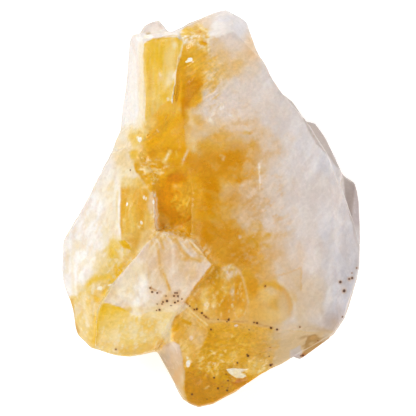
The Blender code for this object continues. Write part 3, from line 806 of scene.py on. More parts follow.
PALE_STRIP_LINES = [
    (PEARL, [(129, 40), (126, 70), (122, 100), (119, 124)], 7.0, 0.8),
    (BUTTER, [(142, 46), (141, 80), (143, 112), (137, 130)], 7.0, 0.75),
    (ROSE, [(132, 40), (137, 62), (139, 90)], 2.4, 0.45), (CREAM, [(133, 60), (131, 110)], 6.0, 0.4),
]
TOP_BLOCK_MARKS = [
    (ROSE, (156, 28), (12, 4), 25, 0.5), (CREAM, (158, 33), (12, 3), 5, 0.6),
    (CREAM, (172, 33), (9, 3), 0, 0.6),
]
TOP_BLOCK_GLINTS = [
    (WHITE, (149, 36.5), (4.5, 1.6), 0, 0.9), (SAND, (148, 33.5), (2.2, 1.3), 0, 0.75),
    (WHITE, (139, 38.5), (3.6, 2.2), 0, 0.7), (BUTTER, (146, 37), (2.5, 1.4), 0, 0.4),
]
PRISM_MARKS = [
    (YELLOW, (150, 60), (5, 20), 0, 0.85), (YELLOW, (158, 58), (8, 18), 0, 0.55),
    (STRAW, (172, 56), (8, 17), 4, 0.85), (STRAW, (166, 87), (7, 12), 8, 0.6),
    (STRAW, (153, 100), (7, 18), 6, 0.35), (GOLD, (151, 84), (2.5, 12), 0, 0.45),
    (CREAM, (171, 77), (3.5, 9), -20, 0.5), (BUTTER, (168, 74), (6, 9), 0, 0.35),
    (CREAM, (175, 45), (3, 4), 0, 0.6), (PEACH, (161, 76), (2.5, 4), 0, 0.5),
    (YELLOW, (165, 97), (4, 4), 0, 0.75), (HONEY, (154, 112), (7, 10), 20, 0.45),
    (BUTTER, (147, 122), (4, 6), 20, 0.5),
]
PRISM_STREAKS = [(STRAW, (16, 2.2), 86, 62, 0.2, 0.4), (YELLOW, (18, 2.4), 92, 59, 0.3, 0.4)]
PRISM_LINES = [
    (STRAW, [(144.5, 48), (143.5, 66), (145.5, 92)], 2.2, 0.6), (GOLD, [(153, 38.5), (164, 37.5)], 1.4, 0.7),
    (HONEY, [(166, 36.5), (178, 35.5)], 1.4, 0.4),
]


def paint_prism(skin):
    """The yellow prism of the neck, with the pale strip on its left and the block on its top."""
    skin.wash(SNOW, skin.outline(PALE_STRIP, 2.0), 0.95)
    skin.tone(skin.outline(PALE_STRIP, 2.0), -0.02)
    skin.strokes(PALE_STRIP_LINES)
    skin.wash(PEARL, skin.outline(TOP_BLOCK, 2.0), 0.9)
    skin.dabs(TOP_BLOCK_MARKS)
    skin.spots(TOP_BLOCK_GLINTS)
    prism = skin.outline(YELLOW_PRISM, 1.4, (0.0, 0.5))
    skin.wash(LEMON, prism)
    skin.dabs(PRISM_MARKS, prism, drift=(0.0, 1.0))
    skin.streaks(PRISM_STREAKS, prism)
    skin.strokes(PRISM_LINES)


VALLEY_MARKS = [
    (SAFFRON, (190, 52), (8, 7), 0, 0.7), (STRAW, (196, 62), (7, 7), 0, 0.35),
    (HONEY, (204, 60), (9, 9), 0, 0.5), (HONEY, (206, 73), (10, 7), 35, 0.6),
    (HONEY, (208, 85), (8, 6), 35, 0.4), (LEMON, (187, 68), (8, 8), 0, 0.35),
    (AMBER, (189, 74), (11, 12), 0, 0.55), (DEEP_AMBER, (191, 86), (11, 6), 35, 0.75),
    (DEEP_AMBER, (198, 85), (5, 3.5), 35, 0.9), (DEEP_AMBER, (192, 94), (8, 4), 35, 0.6),
    (DEEP_AMBER, (184, 102), (7, 6), 30, 0.95), (SAFFRON, (195, 101), (6, 4), 35, 0.8),
    (HONEY, (178, 112), (2.6, 12), 0, 0.7),
]
VALLEY_LINES = [
    (DEEP_AMBER, [(182.5, 106), (182, 118), (182, 129)], 4.0, 0.85),
    (SAFFRON, [(178, 82), (177, 106)], 5.0, 0.7),
]
VALLEY_STREAKS = [(BLUSH, (10, 2.2), 34, 64, 0.05, 0.55), (GOLD, (8, 2.4), 38, 58, 0.35, 0.4)]
# Painted highlight: pale lines along the prism's ridge, where its edge catches the light.
PRISM_RIDGE_HIGHLIGHTS = [
    (CREAM, PRISM_RIDGE[:4], 1.6, 0.6), (SNOW, PRISM_RIDGE[3:7], 1.6, 0.8),
    (BUTTER, PRISM_RIDGE[6:], 1.6, 0.7),
]
VALLEY_GLINTS = [
    (CREAM, (174.5, 75), (2.0, 4.8), -22, 0.8), (SNOW, (171.5, 102), (1.8, 3.6), -20, 0.85),
    (CREAM, (168, 99), (1.2, 1.8), 30, 0.6), (ROSE, (164, 105.5), (3.0, 1.8), 30, 0.85),
    (BROWN, (167, 107), (1.4, 0.8), 0, 0.35), (CREAM, (161.5, 115), (1.8, 1.0), 40, 0.7),
    (CREAM, (160.5, 75), (0.9, 2.4), 0, 0.5), (WHITE, (190, 59.6), (2.3, 2.3), 0, 1.0),
    (WHITE, (187.8, 61.4), (2.0, 1.2), 10, 0.9), (ROSE, (192.6, 61.8), (1.1, 1.0), 0, 0.7),
]


def paint_valley(skin):
    """The amber valley between the prism and the knob, and the painted highlight on the ridge beside it."""
    valley = skin.outline(AMBER_VALLEY, 7.0, (1.0, 3.0))
    skin.wash(GOLD, valley)
    skin.dabs(VALLEY_MARKS, drift=(0.5, 1.0))
    skin.strokes(VALLEY_LINES)
    skin.hollow(skin.line(VALLEY_FOLD, 7.0, 0.9), 0.14)
    fan = skin.oval(*FAN)
    skin.wash(DEEP_AMBER, fan * skin.fibres((12, 2.4), 36, 63, 0.25), 0.22)
    right_of_fan = skin.oval(*RIGHT_OF_FAN) * smooth(*FAN_FADE, skin.column)
    skin.streaks(VALLEY_STREAKS, right_of_fan)
    skin.wash(HONEY, fan * skin.fibres((12, 2.0), 36, 65, 0.4), 0.4)
    skin.roughen(fan, 0.05, 0.09)
    skin.roughen(skin.oval(*GRITTY_NECK), 0.035, 0.02)
    # painted highlight along the prism's ridge
    skin.strokes(PRISM_RIDGE_HIGHLIGHTS, soft=0.7)
    skin.spots(VALLEY_GLINTS)


AMBER_PLATE_MARKS = [
    (LEMON, (167, 128), (9, 15), 0, 0.2), (HONEY, (152, 126), (7, 9), 30, 0.6),
    (SAFFRON, (160, 157), (16, 9), 0, 0.85), (SAFFRON, (178, 160), (11, 10), 0, 0.8),
    (AMBER, (172, 150), (14, 3), 0, 0.55), (AMBER, (152, 154), (5, 5), 0, 0.75),
    (DEEP_AMBER, (186, 160), (5, 4), 0, 0.6), (AMBER, (172, 167), (8, 5), 30, 0.6),
]
SHOULDER_GROUND = [
    (STRAW, (130, 146), (14, 18), 0, 0.55), (CREAM, (117, 156), (13, 32), -25, 0.9),
    (ROSE, (124, 166), (9, 14), -20, 0.35), (BUTTER, (127, 128), (9, 5), 30, 0.6),
    (STRAW, (146, 126), (8, 7), 40, 0.7), (BUTTER, (144, 132), (5, 3), 40, 0.5),
]
SHOULDER_MARKS = [
    (LEMON, (136, 139), (8, 9), 0, 0.8), (YELLOW, (134, 153), (4.5, 5), 0, 0.85),
    (YELLOW, (133, 137), (3, 3), 0, 0.5), (BUTTER, (138, 147), (3, 4), -30, 0.5),
    (CREAM, (130, 144), (2, 3), 0, 0.5), (STRAW, (142, 137), (3, 5), 0, 0.5),
    (GOLD, (139, 133), (2.5, 2), 0, 0.4), (GOLD, (142, 150), (4, 5), 20, 0.6),
]
RIPPLE_STREAKS = [(GOLD, (8, 2.2), 14, 66, 0.25, 0.6), (CREAM, (9, 2.0), -6, 67, 0.35, 0.6)]
RIPPLE_LINES = [
    (GOLD, [(143, 160), (137, 164), (136, 169), (139, 175), (143, 180)], 3.0, 0.75),
    (BUTTER, [(141, 169), (150, 170), (163, 172.5)], 2.0, 0.85),
    (BUTTER, [(145, 165.5), (152, 164), (157, 166)], 1.8, 0.7), (CREAM, [(144, 172), (148, 171.5)], 1.8, 0.6),
    (AMBER, [(158, 160), (164, 166), (168, 172)], 2.2, 0.6), (AMBER, [(140, 174), (147, 177)], 1.8, 0.5),
    # Painted glint: the straw and butter strokes near column 167, rows 151 to 162.
    (STRAW, [(170, 151), (167, 157), (164, 162)], 3.6, 0.8), (BUTTER, [(168.5, 154), (166, 160)], 1.8, 0.8),
    (STRAW, [(176, 151), (177, 156)], 2.0, 0.4), (SAFFRON, [(147, 183), (153, 190), (156, 200)], 5.0, 0.85),
]
# Painted glint: the pale pink and peach lines at the right edge of the amber plate.
PLATE_EDGE_GLINT = [
    (ROSE, [(188, 150), (186, 154), (184, 160)], 2.0, 0.85),
    (PEACH, [(188, 149), (193, 144), (200, 140)], 2.6, 0.6), (PEACH, [(182, 158), (183, 166)], 1.6, 0.4),
]
SHOULDER_GLINTS = [
    (WHITE, (139.4, 139.6), (2.0, 2.6), 0, 1.0), (CREAM, (137, 137.5), (1.8, 1.2), 30, 0.7),
    (WHITE, (139.6, 143), (1.0, 1.0), 0, 0.5), (ROSE, (157.5, 130.5), (1.0, 1.0), 0, 0.6),
]


def paint_shoulder(skin):
    """The smooth amber plate below the neck, the rippled patch and the pale left shoulder."""
    skin.wash(SAFFRON, skin.outline(AMBER_PLATE, 2.4, (0.0, 1.0)), 0.95)
    skin.dabs(AMBER_PLATE_MARKS, drift=(0.0, 1.0))
    skin.dabs(SHOULDER_GROUND)
    skin.dabs(SHOULDER_MARKS, drift=(0.0, 1.0))
    hatch = skin.outline(RIPPLED_PATCH, 4.0, (0.0, 1.5))
    skin.wash(HONEY, hatch, 0.95)
    skin.wash(LEMON, hatch * skin.oval(*FOOT_OF_RIPPLES), 0.5)
    skin.streaks(RIPPLE_STREAKS, hatch)
    skin.strokes(RIPPLE_LINES, soft=0.7)
    # painted glint at the plate's right edge
    skin.strokes(PLATE_EDGE_GLINT)
    skin.spots(SHOULDER_GLINTS)
    skin.roughen(skin.oval(*GRITTY_SHOULDER), 0.06, 0.02)


PIT_MARKS = [
    (SAFFRON, (162, 184), (7, 6), 0, 0.75), (PIT_AMBER, (166, 203), (10, 18), 0, 1.0),
    (PIT_AMBER, (178, 178), (9, 6), 12, 0.9), (BURNT_AMBER, (178, 178), (8, 5), 12, 0.4),
    (PIT_AMBER, (184, 172), (8, 6), 0, 0.6), (DEEP_AMBER, (171, 212), (9, 5), -20, 0.6),
    (GOLD, (182, 202), (9, 14), 0, 0.7), (YELLOW, (184, 201), (5, 8), 0, 0.35),
    (HONEY, (176, 187), (4.5, 3), 0, 0.75), (BUTTER, (175, 186), (2, 1.4), 0, 0.35),
    (DEEP_AMBER, (167, 191), (8, 9), 0, 0.6), (GOLD, (184, 188), (4, 3), 0, 0.6),
    (PIT_AMBER, (176, 220), (8, 5), 10, 0.8), (HONEY, (163, 221), (7, 8), 0, 0.85),
]
PIT_LINES = [
    (LEMON, [(187, 196), (182, 204), (177, 208)], 2.2, 0.75), (LEMON, [(176, 196), (171, 202)], 2.0, 0.6),
    (STRAW, [(190, 198), (187, 206)], 1.6, 0.6), (HONEY, [(187, 210), (181, 215)], 1.8, 0.6),
    (DEEP_AMBER, [(176, 191), (180, 193)], 2.0, 0.8), (DEEP_AMBER, [(173, 205), (178, 213)], 2.2, 0.7),
    (DEEP_AMBER, [(188, 208), (185, 214), (178, 218)], 2.0, 0.6),
    (BURNT_AMBER, [(190, 217.5), (186, 222), (180, 225)], 2.6, 0.85),
]
PIT_FOOT_MARKS = [
    (GOLD, (165, 235), (7, 3), 5, 0.9), (LEMON, (180, 231), (7, 2.6), 18, 0.7),
    (CREAM, (171, 234), (3, 2), 0, 0.6), (SAFFRON, (188, 229), (5, 4), 20, 0.5),
]
# The rose and snow lines along the pit's ridge are a painted highlight on its edge.
PIT_WALL_LINES = [
    (ROSE, PIT_RIDGE[:3], 2.6, 0.8), (SNOW, PIT_RIDGE[3:], 2.2, 0.6),
    (TOFFEE, [(151, 196), (150, 208)], 1.6, 0.5), (STRAW, [(151, 216), (152, 232)], 3.0, 0.6),
]
PIT_WALL_GLINTS = [
    (WHITE, (153.5, 202), (1.4, 2.0), 0, 1.0), (WHITE, (157, 228), (1.3, 1.6), 0, 0.9),
    (SNOW, (155, 195), (1.0, 2.0), 0, 0.7), (SNOW, (156.5, 219), (1.0, 2.4), 0, 0.7),
    (SNOW, (151, 212.5), (2.0, 1.2), 30, 0.6),
]


def paint_pit(skin):
    """The deep amber pit with its golden swirl, and a painted highlight on the ridge of its left wall."""
    pit = skin.outline(PIT, 1.8, (0.0, 0.8))
    skin.hollow(skin.outline(PIT, 5.0, (0.0, 0.0)), 0.08)
    skin.hollow(pit * skin.oval(*LEFT_OF_PIT), 0.22)
    skin.wash(PIT_AMBER, pit * smooth(-0.1, 0.0, skin.up), 1.0, True)
    skin.wash(GOLD, pit)
    skin.dabs(PIT_MARKS, pit, drift=(0.0, 0.8))
    skin.strokes(PIT_LINES, pit, soft=0.7)
    skin.wash(LEMON, pit * skin.oval(*LIGHT_SWIRL) * skin.fibres((5, 1.8), 50, 68, 0.3), 0.5)
    skin.wash(DEEP_AMBER, pit * skin.oval(*DARK_SWIRL) * skin.fibres((6, 2), 20, 69, 0.35), 0.5)
    skin.dabs(PIT_FOOT_MARKS, drift=(0.0, 1.0))
    ridge = skin.outline(PIT_WALL, 2.0, (0.0, 1.0))
    skin.wash(PEACH, ridge * smooth(-0.1, 0.0, skin.up), 0.8, True)
    skin.wash(CREAM, ridge * skin.fibres((5, 2.2), 80, 70, 0.1), 0.7)
    # painted highlight along the pit's ridge
    skin.strokes(PIT_WALL_LINES, soft=0.7)
    skin.spots(PIT_WALL_GLINTS)
    skin.roughen(pit, 0.06, 0.02)
    skin.blunt(skin.outline(PIT, 5.0, (0.0, 0.0)), 0.45)


LOBE_EDGE = [(PEARL, [(108, 168), (86, 210), (66, 244), (64, 280)], 11.0, 0.6)]
LOBE_MARKS = [
    (WHITE, (97, 205), (6, 9), 0, 0.7), (WHITE, (85, 224), (5, 8), 0, 0.6),
    (WHITE, (84, 256), (6, 6), 0, 0.8), (WHITE, (80, 276), (4, 8), 10, 0.8),
    (BUTTER, (81, 246), (5, 6), 0, 0.5), (BUTTER, (92, 214), (3, 8), -20, 0.4),
    (BUTTER, (112, 186), (4, 6), -40, 0.5), (ROSE, (124, 180), (7, 6), 0, 0.4),
    (BUTTER, (106, 238), (4, 8), -20, 0.4), (BUTTER, (97, 262), (8, 10), 0, 0.6),
    (CREAM, (94, 240), (8, 10), 0, 0.5), (STRAW, (101, 256), (4, 6), -20, 0.3),
]
LOBE_STREAKS = [
    (BUTTER, (11, 4.5), 62, 71, 0.30, 0.4), (ROSE, (9, 4), 74, 72, 0.35, 0.35),
    (WHITE, (9, 4), 55, 73, 0.35, 0.6),
]
LOBE_LINES = [
    (BUTTER, [(73, 246), (72, 262), (73, 284), (75, 300)], 3.0, 0.4),
    (WHITE, [(76, 276), (76.5, 288), (77, 297)], 2.4, 0.8),
    (STRAW, [(118, 192), (117, 206), (119, 222)], 2.4, 0.5), (BUTTER, [(68, 250), (67, 272)], 3.0, 0.4),
    (WHITE, [(119.5, 200), (119.5, 232)], 2.4, 0.6),
]
AMBER_STRIP_MARKS = [
    (LEMON, (131, 214), (7, 22), 0, 0.65), (SAFFRON, (143, 204), (7, 18), 0, 0.6),
    (STRAW, (134, 184), (12, 6), -10, 0.75), (SAFFRON, (132, 196), (8, 5), 0, 0.4),
    (GOLD, (139, 234), (6, 8), 0, 0.35), (STRAW, (148, 226), (4, 14), 0, 0.6),
    (BUTTER, (128, 184), (5, 4), 0, 0.5), (ROSE, (150, 204), (3, 8), 0, 0.5),
    (HONEY, (140, 240), (9, 8), 0, 0.6), (STRAW, (126, 237), (7, 4), 0, 0.5),
]
AMBER_STRIP_STREAKS = [(STRAW, (14, 2.2), 88, 56, 0.25, 0.4), (SAFFRON, (14, 2.2), 92, 57, 0.30, 0.35)]
SLOPE_MARKS = [
    (HONEY, (138, 244), (10, 14), -30, 0.7), (GOLD, (140, 240), (6, 9), -20, 0.4),
    (LEMON, (114, 250), (5, 12), 0, 0.75), (YELLOW, (112, 254), (2.4, 6), 0, 0.5),
    (BUTTER, (104, 258), (5, 9), 0, 0.55), (LEMON, (118, 268), (7, 11), -15, 0.85),
    (YELLOW, (117, 272), (3.5, 9), -20, 0.7), (BUTTER, (123, 256), (4, 7), -20, 0.75),
    (CREAM, (122, 252), (2, 4), 0, 0.5), (STRAW, (108, 270), (6, 6), 0, 0.5),
    (HONEY, (126, 262), (5, 6), -30, 0.4), (BUTTER, (112, 264), (2, 3), 0, 0.4),
    (CREAM, (118, 262), (2.4, 1.6), 0, 0.4),
]
SLOPE_RING_MARKS = [
    (BUTTER, (97, 288), (6, 5), 0, 0.6), (LEMON, (105, 292), (4, 4), 0, 0.7),
    (YELLOW, (95, 299), (5, 3.4), 0, 0.9), (YELLOW, (90, 285), (2.5, 4), 0, 0.5),
    (LEMON, (99, 302), (5, 3), 0, 0.6), (YELLOW, (112, 281), (5, 2.4), 20, 0.5),
]
SLOPE_STREAKS = [(CREAM, (6, 2.6), 55, 74, 0.38, 0.5), (LEMON, (6, 2.6), 70, 75, 0.38, 0.45)]
SLOPE_LINES = [(BUTTER, [(113, 236), (118, 237.5)], 2.2, 0.6), (BUTTER, [(100, 302), (110, 302)], 2.0, 0.4)]
LOBE_GLINTS = [
    (WHITE, (99.8, 288.5), (2.6, 1.8), 0, 1.0), (SNOW, (109.5, 285), (2.4, 1.0), 30, 0.9),
    (WHITE, (127.3, 204), (1.0, 1.6), 0, 1.0), (CREAM, (144, 197.5), (1.0, 1.9), 0, 0.95),
    (SNOW, (146, 199), (1.0, 1.9), 0, 0.7), (CREAM, (141, 222.6), (1.5, 2.0), 20, 0.85),
    (CREAM, (139, 227), (1.2, 1.6), 0, 0.5), (CREAM, (113, 222), (1.6, 3.0), 0, 0.5),
]


def paint_lobe(skin):
    """The creamy left lobe, the amber strip beside it and the yellow slope below."""
    lobe = skin.outline(LEFT_LOBE, 6.0)
    skin.wash(SNOW, lobe, 0.9)
    skin.strokes(LOBE_EDGE)
    skin.dabs(LOBE_MARKS)
    skin.streaks(LOBE_STREAKS, lobe)
    skin.strokes(LOBE_LINES)
    strip = skin.outline(AMBER_STRIP, 9.0, (0.5, 2.6))
    strip *= smooth(*AMBER_STRIP_FADE, skin.column + 0.5 * skin.fine[0])
    skin.wash(HONEY, strip, 0.95)
    skin.wash(SAFFRON, strip * skin.line(AMBER_CORE, 5.0, 0.9), 0.8)
    skin.dabs(AMBER_STRIP_MARKS, drift=(0.0, 1.2))
    skin.streaks(AMBER_STRIP_STREAKS, strip)
    slope = skin.outline(STRAW_SLOPE, 8.0, (0.5, 2.4))
    skin.wash(STRAW, slope, 0.95)
    skin.dabs(SLOPE_MARKS, drift=(0.0, 1.2))
    ring = skin.line(SLOPE_RING, 5.0, 0.9)
    skin.wash(LEMON, ring, 0.8)
    skin.dabs(SLOPE_RING_MARKS, drift=(0.0, 0.8))
    skin.streaks(SLOPE_STREAKS, slope)
    skin.strokes(SLOPE_LINES)
    skin.wash(YELLOW, skin.outline(YELLOW_LENS, 1.2, (0.0, 0.3)), 1.0)
    skin.wash(OLD_GOLD, skin.oval(*SHADE_OF_LENS), 0.35)
    skin.spots(LOBE_GLINTS)
    skin.roughen(np.maximum(strip, slope), 0.03, 0.01)


LOWER_LEFT_MARKS = [
    (BUTTER, (84, 312), (11, 24), 0, 0.7), (BLUSH, (78, 305), (4, 12), 0, 0.4),
    (LEMON, (114, 321), (18, 9), 0, 0.35), (PEACH, (106, 344), (16, 6), 0, 0.35),
    (HONEY, (138, 349), (24, 6), 6, 0.5), (BUTTER, (164, 330), (5, 12), 0, 0.8),
    (BUTTER, (135, 328), (4, 12), 15, 0.6), (HONEY, (156, 342), (6, 7), 0, 0.6),
    (HONEY, (150, 324), (7, 10), 0, 0.4), (BUTTER, (122, 334), (8, 10), 0, 0.4),
    (STRAW, (86, 328), (6, 10), -20, 0.6), (LEMON, (93, 332), (4, 10), 0, 0.5),
    (GOLD, (147, 342), (3, 2), 0, 0.3), (PEACH, (160, 312), (18, 5), 0, 0.55),
    (STRAW, (166, 344), (6, 5), 30, 0.5),
]
LOWER_LEFT_FOLD_LINES = [
    (BUTTER, [(174, 316), (168, 328), (169, 340)], 6.0, 0.8), (LEMON, [(173, 326), (172, 340)], 1.8, 0.5),
]
LOWER_LEFT_STREAKS = [
    (BUTTER, (11, 3.6), 74, 91, 0.40, 0.35), (LEMON, (12, 3.6), 68, 92, 0.30, 0.35),
    (CREAM, (5, 2.4), 80, 90, 0.62, 0.4),
]
YELLOW_ARC_MARKS = [
    (YELLOW, (105, 310), (5, 3.4), 30, 0.6), (LEMON, (112, 311), (11, 3.4), 5, 0.6),
    (WHITE, (134, 312), (4.5, 4), 20, 0.85), (LEMON, (102, 318), (3, 8), 0, 0.5),
    (YELLOW, (118, 307), (9, 2.4), 5, 0.6),
]
LOWER_LEFT_LINES = [
    (LEMON, [(140, 311), (136, 321)], 2.0, 0.7), (LEMON, LEFT_CREASE, 7.0, 0.7),
    (YELLOW, LEFT_CREASE, 3.0, 0.8), (HONEY, LEFT_EDGE_BAND, 3.0, 0.8),
    (TOFFEE, LEFT_EDGE_BAND[1:], 2.0, 0.5), (WHITE, WHITE_STREAK, 2.2, 0.5),
    (SAND, [(84, 342), (95, 349), (118, 354), (140, 353)], 2.0, 0.3),
    (CREAM, [(84, 296), (85, 314), (88, 326)], 3.0, 0.5), (PEACH, [(80, 306), (84, 312)], 3.0, 0.5),
]


def paint_lower_left(skin):
    """The soft yellow face at the lower left, with its darker arc and crease."""
    face = skin.outline(LOWER_LEFT_FACE, 4.0, (0.5, 1.0))
    skin.wash(STRAW, face, 1.0)
    skin.dabs(LOWER_LEFT_MARKS)
    skin.hollow(skin.line(LOWER_LEFT_FOLD, 9.0, 0.9), 0.22)
    skin.strokes(LOWER_LEFT_FOLD_LINES)
    skin.streaks(LOWER_LEFT_STREAKS, face)
    skin.wash(YELLOW, skin.line(YELLOW_ARC, 4.4, 0.9, (0.0, 1.6)), 1.0)
    skin.dabs(YELLOW_ARC_MARKS, drift=(0.0, 1.0))
    skin.strokes(LOWER_LEFT_LINES)
    skin.roughen(face, 0.015, 0.01)


PALE_FACE_MARKS = [
    (PEARL, (132, 284), (15, 20), 30, 0.8), (SNOW, (143, 288), (5, 13), 10, 0.85),
    (WHITE, (137, 302), (4, 6), 0, 0.85), (WHITE, (143, 282), (3, 6), 10, 0.6),
    (SNOW, (122, 293), (5, 5), 0, 0.7), (BUTTER, (130, 293), (4, 7), 0, 0.5),
    (CREAM, (140, 266), (8, 8), 30, 0.5), (BUTTER, (154, 248), (4, 9), 20, 0.7),
    (PEACH, (160, 262), (6, 20), 0, 0.55), (PEACH, (152, 268), (3, 10), 0, 0.3),
    (ROSE, (172, 258), (5, 16), 0, 0.7), (PEACH, (170, 302), (14, 8), 0, 0.6),
    (SAND, (156, 303), (6, 5), 0, 0.25), (PEACH, (180, 252), (4, 6), -40, 0.6),
    (PEACH, (188, 259), (8, 3.4), -10, 0.8), (HONEY, (186, 259.5), (5, 2), -10, 0.5),
    (ROSE, (194, 270), (12, 8), 30, 0.4), (PEACH, (191, 275), (7, 4), 0, 0.45),
    (BUTTER, (200, 260), (5, 3), 0, 0.4), (PEARL, (180, 284), (9, 10), 30, 0.5),
    (ROSE, (165, 243), (5, 4), 0, 0.5), (CREAM, (115, 300), (6, 3), 0, 0.5),
    (PEACH, (176, 240), (5, 2), 20, 0.4),
]
PALE_FACE_LINES = [
    (COOL_MILK, [(178, 240), (184, 248), (192, 256)], 4.0, 0.85), (SNOW, [(181, 242), (188, 251)], 2.0, 0.6),
    (SNOW, [(171, 240), (173, 252), (173, 272)], 2.6, 0.55),
    (CREAM, [(156, 240), (148, 256), (146, 268)], 2.4, 0.5),
    (HONEY, [(157, 244), (159, 254), (160, 264)], 2.4, 0.5), (HONEY, [(152, 243), (150, 250)], 2.2, 0.45),
    (PEACH, [(147, 262), (149, 276), (151, 290)], 2.4, 0.45),
    (HONEY, [(161, 266), (165, 280), (169, 291)], 4.0, 0.4),
    (AMBER, [(164, 274), (167, 283), (169, 290)], 2.0, 0.7), (TOFFEE, [(160, 268), (162, 278)], 1.6, 0.45),
    (SAND, [(176, 246), (181, 257)], 1.6, 0.35),
]
PALE_FACE_STREAKS = [
    (BUTTER, (12, 4), 66, 81, 0.35, 0.3), (SNOW, (12, 4), 58, 82, 0.38, 0.35),
    (PEACH, (9, 3.4), 84, 83, 0.42, 0.25),
]
# The snow line along the diagonal ridge is a painted highlight on its edge.
PALE_FACE_RIDGES = [(SNOW, DIAGONAL_RIDGE, 1.6, 0.35), (TOFFEE, FRONT_RIDGE, 1.8, 0.45)]
FRINGE_STREAKS = [
    (HONEY, (9, 2.2), -52, 48, 0.05, 0.6), (PEACH, (8, 2.4), -60, 49, 0.15, 0.7),
    (CREAM, (9, 2.0), 62, 47, 0.30, 0.6),
]
FRINGE_LINES = [
    (HONEY, [(176, 238), (181, 250), (190, 258), (201, 261)], 3.0, 0.5),
    (CREAM, [(163, 232), (158, 240), (150, 250)], 2.0, 0.6), (HONEY, [(160, 238), (163, 248)], 2.6, 0.5),
    (BUTTER, [(186, 236), (196, 246), (206, 259)], 1.6, 0.6), (SAFFRON, [(190, 243), (200, 254)], 2.4, 0.4),
]
PALE_FACE_FOOT = [
    (RUST, (152, 289), (4, 1.6), -40, 0.35), (RUST, (157, 293), (2.5, 1.6), 0, 0.25),
    (RUST, (176, 294), (4, 3), 0, 0.3), (TOFFEE, (166, 299), (6, 4), 0, 0.3),
    (SAND, (158, 309), (6, 2.6), 0, 0.4), (TOFFEE, (176, 302), (6, 2), 20, 0.35),
    (BUTTER, (158, 312), (16, 5), 0, 0.55), (BUTTER, (176, 309), (9, 6), 0, 0.5),
    (STRAW, (168, 315), (12, 4), 0, 0.4), (CREAM, (138, 313), (5, 4), 0, 0.7),
    (SNOW, (135, 309), (3, 5), 0, 0.7), (YELLOW, (126, 309), (5, 2), 0, 0.4),
    (CREAM, (112, 306), (5, 2), 0, 0.3), (SNOW, (150, 305), (4, 2), 20, 0.5),
    (WHITE, (141, 292), (2, 6), 12, 0.7), (WHITE, (146, 298), (2, 4), -20, 0.6),
    (WHITE, (136, 288), (1.6, 5), 20, 0.6), (SNOW, (129, 296), (4, 2), -20, 0.6),
    (PEARL, (152, 298), (6, 5), 0, 0.4),
]


def paint_pale_face(skin):
    """The pale front face of the small crystal, with its rusty vein."""
    slip = skin.outline(SLIP_ABOVE_PALE_FACE, 6.0, (0.0, 1.5))
    skin.wash(BUTTER, slip, 0.6)
    skin.wash(PEACH, skin.oval(*PALE_FACE_CORNER), 0.95)
    face = skin.outline(PALE_FACE, 1.6, (0.0, 0.6))
    skin.wash(BLUSH, face, 1.0)
    skin.dabs(PALE_FACE_MARKS, face, drift=(0.0, 1.2))
    skin.strokes(PALE_FACE_LINES, face)
    skin.wash(PEACH, face * skin.oval(*PALE_FACE_MIDDLE), 0.25)
    skin.streaks(PALE_FACE_STREAKS, face)
    # painted highlight along the diagonal ridge
    skin.strokes(PALE_FACE_RIDGES)
    fringe = skin.line(FRINGE_OF_PALE_FACE, 13.0, 0.9)
    skin.streaks(FRINGE_STREAKS, fringe)
    skin.strokes(FRINGE_LINES)
    skin.dabs(PALE_FACE_FOOT, drift=(1.0, 2.2))
    skin.roughen(face, 0.01, 0.01)


PETAL_GROUND = [
    (BEIGE, (276, 316), (28, 14), 0, 0.5), (HONEY, (256, 312), (12, 8), 0, 0.5),
    (BEIGE, (284, 300), (14, 26), 0, 0.4),
]
PETAL_MARKS = [
    (AMBER, (215, 278), (6, 14), -8, 0.8), (GOLD, (222, 292), (6, 16), 0, 0.6),
    (TOFFEE, (197, 293), (7, 9), 45, 0.5), (AMBER, (224, 306), (10, 10), 0, 0.8),
    (DEEP_AMBER, (239, 290), (5, 14), -6, 0.75), (AMBER, (236, 304), (9, 10), 0, 0.6),
    (STRAW, (205, 300), (4, 11), 0, 0.85), (BUTTER, (207, 305), (2.4, 3.4), 0, 0.8),
    (STRAW, (214, 303), (3, 5), 0, 0.6), (STRAW, (211, 290), (3, 5), 0, 0.45),
    (BUTTER, (226, 276), (4, 7), 0, 0.6), (STRAW, (226, 288), (3, 6), 0, 0.45),
    (BEIGE, (232.5, 291), (2.4, 7), 0, 0.85), (GOLD, (200, 304), (5, 5), 0, 0.5),
    (STRAW, (238, 312), (6, 3), 0, 0.4),
]
PETAL_GLINTS = [
    (SNOW, (232, 268), (1.6, 2.4), 20, 0.6), (SNOW, (226, 272), (1.4, 2.4), 0, 0.5),
    (TOFFEE, (229, 272), (1.2, 1.8), 0, 0.6), (ROSE, (236, 273), (1.8, 2.2), 0, 0.6),
    (BUTTER, (232.5, 306), (1.4, 2.0), 0, 0.85), (ROSE, (205, 304.5), (1.2, 1.4), 0, 0.6),
]
PETAL_STREAKS = [
    (GOLD, (7, 2.8), 65, 93, 0.30, 0.45), (BUTTER, (5, 2.2), 72, 94, 0.48, 0.5),
    (AMBER, (5, 2.4), 60, 88, 0.42, 0.4),
]
CRESCENT_MARKS = [
    (AMBER, (252, 286), (6, 11), 10, 0.8), (GOLD, (246, 274), (6, 7), 30, 0.5),
    (HONEY, (250, 302), (5, 7), 10, 0.7),
]
CRESCENT_LINES = [(PEACH, PETAL_ARC[1:5], 2.0, 0.55), (PEACH, PETAL_ARC[4:], 3.0, 0.3)]
ARCH_MARKS = [
    (STRAW, (268, 295), (8, 7), 0, 0.45), (BEIGE, (272, 291), (6, 4), 0, 0.45),
    (GOLD, (275, 305), (6, 6), 0, 0.4), (BEIGE, (284, 308), (6, 12), 0, 0.5),
    (HONEY, (258, 316), (12, 5), 0, 0.4), (STRAW, (270, 315), (12, 6), 0, 0.3),
]
ARCH_LINES = [
    (GOLD, [(260, 288), (266, 284), (275, 285), (282, 289)], 5.0, 0.6),
    (TOFFEE, [(282, 289), (288, 297), (290, 306), (291, 316)], 4.0, 0.4),
    (PEARL, [(279, 282), (288, 290), (294, 300), (296, 314)], 3.0, 0.25),
    (TOFFEE, [(280, 277), (291, 272), (301, 268), (301, 290)], 1.6, 0.4),
]


